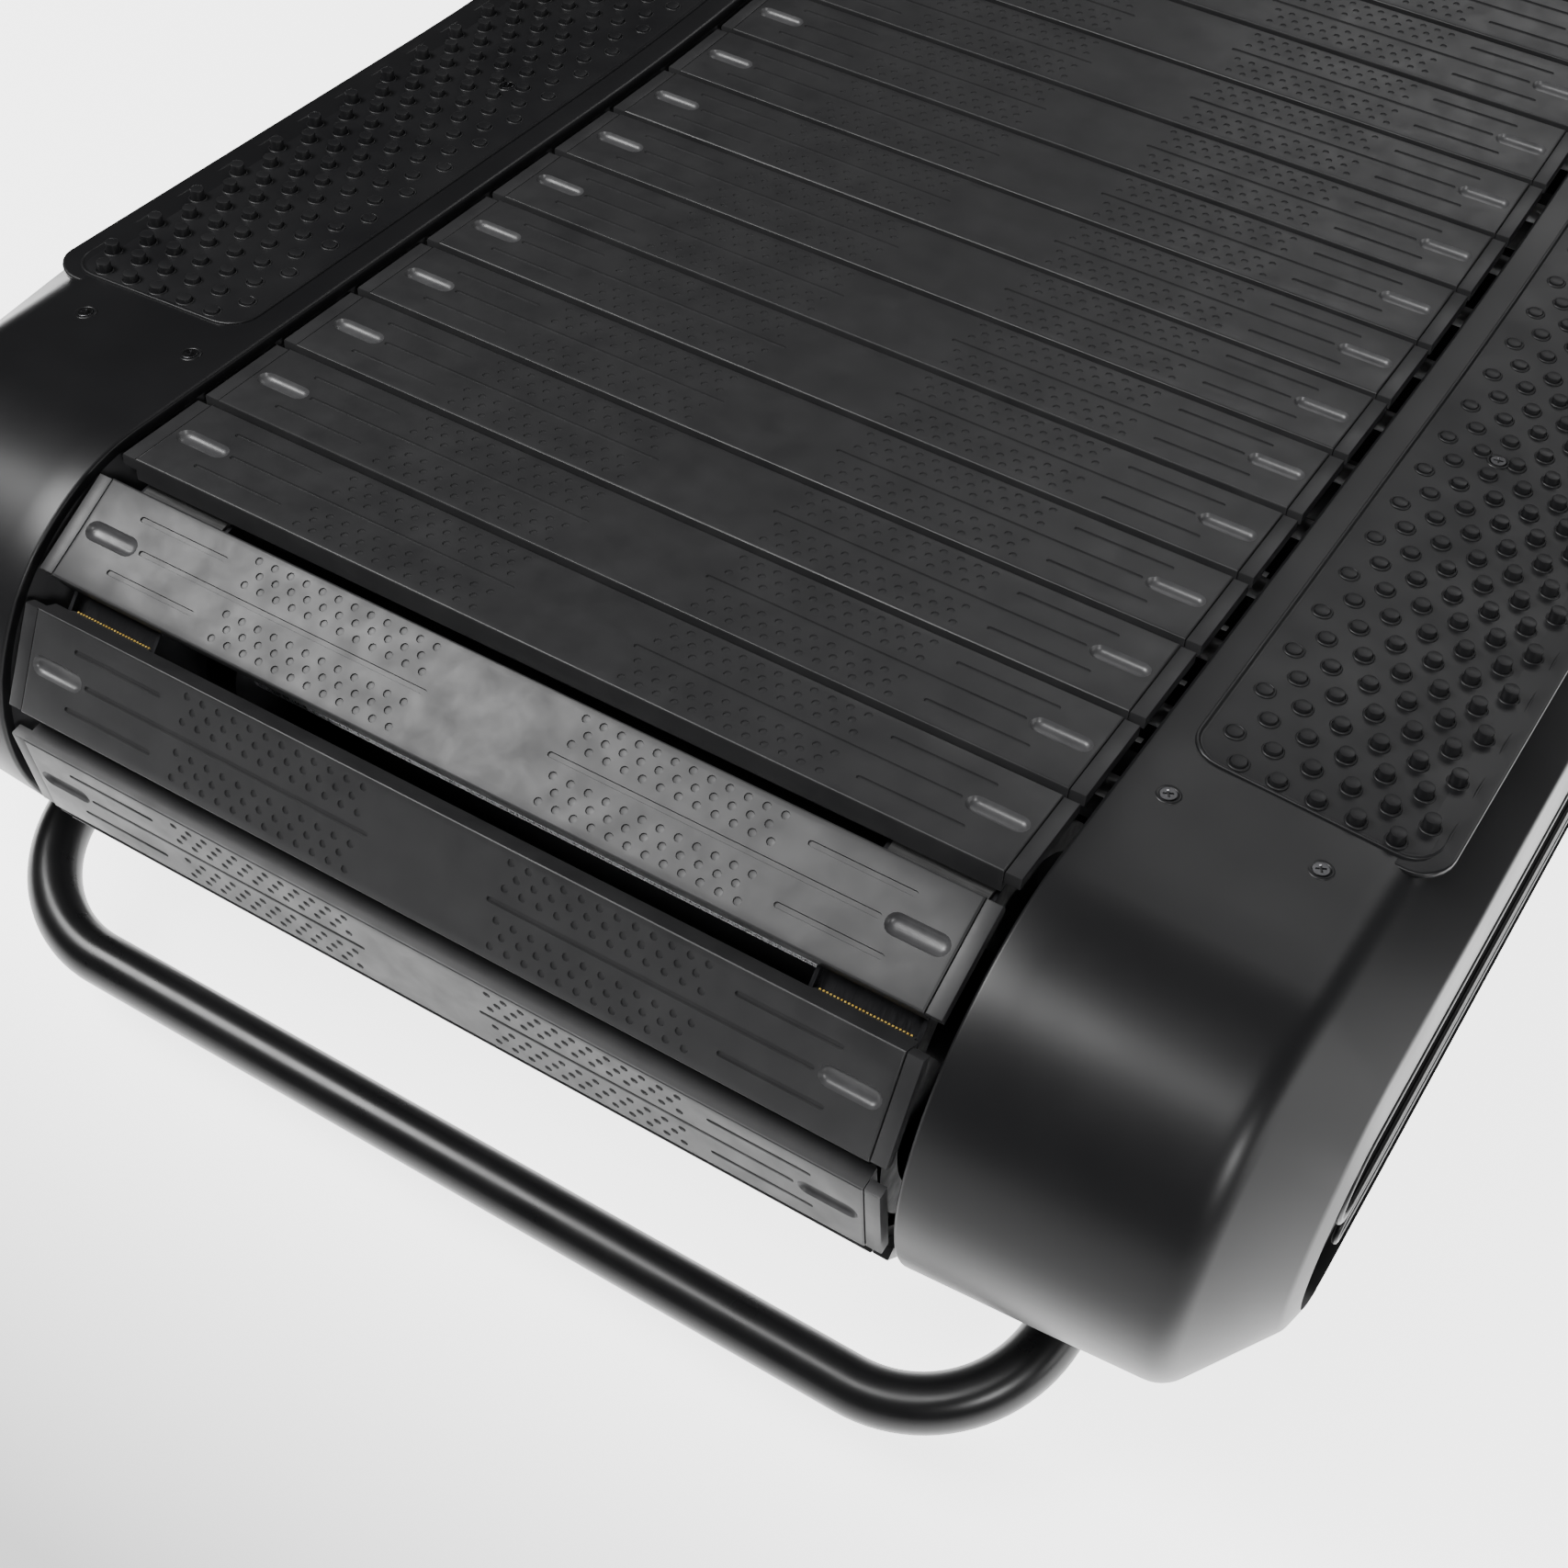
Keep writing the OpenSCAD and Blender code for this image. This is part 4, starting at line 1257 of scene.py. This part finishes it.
def screw_mesh():
    """A countersunk head with a cross recess, its top in the XY plane."""
    shape = Shape()
    head_r = 4.2 * MM
    arm = 2.5 * MM
    half = 0.55 * MM
    cross = []
    for quarter in range(4):
        a = quarter * math.pi / 2
        for x, y in ((arm, -half), (arm, half), (half, half)):
            cross.append((x * math.cos(a) - y * math.sin(a), x * math.sin(a) + y * math.cos(a)))
    sides = 28
    rim = circle(head_r - 0.35 * MM, sides)
    flat = [Vector(p) for p in rim + cross]
    loops = [list(range(sides)), list(range(sides, sides + len(cross)))]
    cut = delaunay_2d_cdt(flat, [], loops, 1, 1e-8)
    top = 0.55 * MM
    numbers = shape.ring([(p.x, p.y, top) for p in cut[0]])
    shape.faces.extend(tuple(numbers[i] for i in tri) for tri in outer_triangles(cut))
    edge = shape.ring([(x, y, top) for x, y in cross])
    floor = shape.ring([(0.55 * x, 0.55 * y, top - 1.5 * MM) for x, y in cross])
    shape.join(edge, floor)
    shape.fan(floor, (0, 0, top - 1.7 * MM))
    last = shape.ring([(x, y, top) for x, y in rim])
    for r, z in ((head_r - 0.1 * MM, top - 0.12 * MM), (head_r, top - 0.4 * MM), (head_r, -1 * MM)):
        ring = shape.ring([(x, y, z) for x, y in circle(r, sides)])
        shape.join(last, ring)
        last = ring
    return shape.mesh("screw", merge=0.005 * MM)


def washer_ring_mesh():
    """The dished seat round a screw head."""
    profile = ((6.2, -0.2), (5.9, 0.25), (5.2, 0.38), (4.5, 0.1), (4.25, -0.6))
    return turned_mesh("screw_seat", profile, 28, capped=False)


def build_screws():
    tilt = math.atan2(top_rise(300 * MM) - top_rise(340 * MM), 40 * MM)
    marks = []
    for side in (-1, 1):
        places = [(277.5, 0.063), (350, 0.0635), (277.5, TOP_L - 0.06), (350, TOP_L - 0.06)]
        for x, s in places:
            marks.append((at(s, side * x * MM, top_rise(x * MM)), (turn_at(s), side * tilt, 0.5)))
        for s in (0.385, TOP_L - 0.4):
            x = 314 * MM
            marks.append((at(s, side * x, plate_rise(x) + 0.2 * MM), (turn_at(s), side * tilt, 0.3)))
    heads = set_out("cover_screw_heads", screw_mesh(), marks, SCREW, 25)
    settle(heads, ("cover_screws",))
    seats = set_out("cover_screw_seats", washer_ring_mesh(), marks, COVER, 50)
    settle(seats)


build_screws()

# ---- Rear handle ----


def handle_path():
    """Middle line of the handle's tube, from the end of one leg round to the other."""
    tilt = math.radians(13.6)
    origin = Vector((0, REAR_AXIS.x - 119.5 * MM, REAR_AXIS.y - 162.5 * MM))
    along = Vector((0, math.cos(tilt), math.sin(tilt)))
    half = 238.5 * MM
    r = 74.5 * MM
    leg = 145 * MM
    points = []
    for side in (-1, 1):
        part = []
        for t in (0, 0.35, 0.7, 1):
            part.append(Vector((side * (half + r), 0, 0)) + along * (r + leg * (1 - t)))
        for k in range(1, 24):
            a = math.pi / 2 * k / 24
            x = side * (half + r * math.cos(a))
            part.append(Vector((x, 0, 0)) + along * (r - r * math.sin(a)))
        for t in (0, 0.15, 0.5, 0.85):
            part.append(Vector((side * half * (1 - t), 0, 0)))
        points += part if side < 0 else part[::-1]
    return [origin + p for p in points]


def swept_tube(name, path, r, sides, material):
    shape = Shape()
    rings = tube_rings(shape, path, r, sides, False)
    for a, b in zip(rings, rings[1:]):
        shape.join(a, b)
    shape.cap(rings[0])
    shape.cap(rings[-1])
    return object_of(name, shape.mesh(name), material, 40)


handle = swept_tube("rear_handle_tube", handle_path(), 15 * MM, 36, HANDLE_PAINT)
settle(handle, ("rear_handle",))

# ---- Finishes of the CAD pieces that stay ----

FINISHES = {
    "front_shroud": COVER,
    "side_rail": FRAME_PAINT,
    "cross_tubes": FRAME_PAINT,
    "rear_shaft": SHAFT,
    "front_shaft": SHAFT,
    "rear_pulley": PULLEY,
    "front_pulley": PULLEY,
    "rear_bearings": BLOCK,
    "front_bearings": BLOCK,
    "guide_bearings": BEARING,
    "guide_bolts": BOLT,
    "wheel_bolts": BOLT,
    "handle_sockets": FRAME_PAINT,
    "base_": FRAME_PAINT,
    "rear_stands": FRAME_PAINT,
    "front_stands": FRAME_PAINT,
    "rubber_feet": RUBBER,
    "wheel_": WHEEL,
    "upright_": FRAME_PAINT,
    "mast_": FRAME_PAINT,
    "knuckles": BLOCK,
    "handrail_": FRAME_PAINT,
    "grip_": FOAM,
    "end_caps": RUBBER,
    "console_bar": FRAME_PAINT,
    "console_screen": GLASS,
    "console_keypad": KEYS,
    "console_": HOUSING,
    "bottle_holder": HOUSING,
}


def finish_cad_nodes():
    for name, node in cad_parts.items():
        for start, material in FINISHES.items():
            if name.startswith(start) and not (name == "wheel_bolts" and start == "wheel_"):
                node.data.materials.clear()
                node.data.materials.append(material)
                break


finish_cad_nodes()

# ---- Floor, lights and camera ----

FLOOR = Finish("pale floor", (0.9, 0.9, 0.9), 0.9, specular=0.1)
FLOOR.tint(FLOOR.noise(0.6, 2), (0.89, 0.89, 0.89), (0.91, 0.91, 0.91))
# The floor glows white: painted light, not a lamp. Its strength, set below, also paints shade on the
# floor behind the machine.
FLOOR.shader.inputs["Emission Color"].default_value = (1, 1, 1, 1)


def distance_outside(centre, half):
    """How far a place on the floor lies outside a rectangle."""
    moved = FLOOR.add("ShaderNodeVectorMath", operation="SUBTRACT")
    moved.inputs[1].default_value = (*centre, 0)
    FLOOR.link(FLOOR.place, moved.inputs[0])
    beside = FLOOR.add("ShaderNodeVectorMath", operation="ABSOLUTE")
    FLOOR.link(moved.outputs["Vector"], beside.inputs[0])
    past = FLOOR.add("ShaderNodeVectorMath", operation="SUBTRACT")
    past.inputs[1].default_value = (*half, 0)
    FLOOR.link(beside.outputs["Vector"], past.inputs[0])
    outside = FLOOR.add("ShaderNodeVectorMath", operation="MAXIMUM")
    FLOOR.link(past.outputs["Vector"], outside.inputs[0])
    reach = FLOOR.add("ShaderNodeVectorMath", operation="LENGTH")
    FLOOR.link(outside.outputs["Vector"], reach.inputs[0])
    return reach.outputs["Value"]


def painted_glow_and_shade_round_the_machine():
    """Painted light and shade on the floor: it glows white over a rectangle round the machine, which
    also lights the machine, and the glow drops within 0.3 m past the rectangle's front and rear edges,
    a painted shade on the floor just behind the machine and in the machine's reflections of it.
    """
    # Emission 3.5 inside the rectangle, down to 0.3 from 0.3 m outside it: painted glow round the
    # machine, and painted shade past its ends.
    painted_glow = FLOOR.spread(distance_outside((-0.1, 0.04), (1.6, 0.92)), 3.5, 0.3, 0.0, 0.3)
    FLOOR.link(painted_glow, FLOOR.shader.inputs["Emission Strength"])


painted_glow_and_shade_round_the_machine()


def build_floor():
    half = 14.0
    mesh = mesh_of(
        "floor",
        [(-half, -half, 0), (half, -half, 0), (half, half, 0), (-half, half, 0)],
        [(0, 1, 2, 3)],
        outward=False,
    )
    piece = bpy.data.objects.new("floor", mesh)
    mesh.materials.append(FLOOR.material)
    bpy.context.scene.collection.objects.link(piece)


build_floor()


def lamp(name, place, target, size, size_y, power):
    data = bpy.data.lights.new(name, "AREA")
    data.shape = "RECTANGLE"
    data.size = size
    data.size_y = size_y
    data.energy = power
    piece = bpy.data.objects.new(name, data)
    piece.location = place
    piece.rotation_euler = (Vector(target) - Vector(place)).to_track_quat("-Z", "Y").to_euler()
    bpy.context.scene.collection.objects.link(piece)


def build_lights():
    world = bpy.data.worlds.new("studio")
    world.use_nodes = True
    world.node_tree.nodes["Background"].inputs["Color"].default_value = (1, 1, 1, 1)
    world.node_tree.nodes["Background"].inputs["Strength"].default_value = 0.02
    bpy.context.scene.world = world
    lamp("overhead_softbox", (-1.6, -1.45, 2.8), (0, -0.8, 0.2), 1.3, 1.0, 96)
    lamp("crease_softbox", (2.1, -2.5, 2.2), (0.3, -0.8, 0.3), 0.5, 0.5, 34)
    lamp("side_softbox", (-0.15, -1.75, 3.0), (0.2, -0.8, 0.3), 1.0, 0.7, 24)
    lamp("front_softbox", (0.2, 2.6, 2.6), (0, 0.0, 0.3), 2.6, 1.0, 26)
    lamp("right_softbox", (3.4, -0.2, 0.9), (0.3, -0.4, 0.2), 3.0, 1.0, 30)


build_lights()


def build_camera():
    rear = REAR_AXIS
    data = bpy.data.cameras.new("camera")
    data.sensor_width = 36
    data.lens = 55.38
    data.clip_end = 60
    piece = bpy.data.objects.new("camera", data)
    piece.location = (487.9 * MM, rear.x - 580.1 * MM, rear.y + 916.6 * MM)
    piece.rotation_euler = (math.radians(90 - 50.19), 0, math.radians(31.835))
    bpy.context.scene.collection.objects.link(piece)
    bpy.context.scene.camera = piece


build_camera()
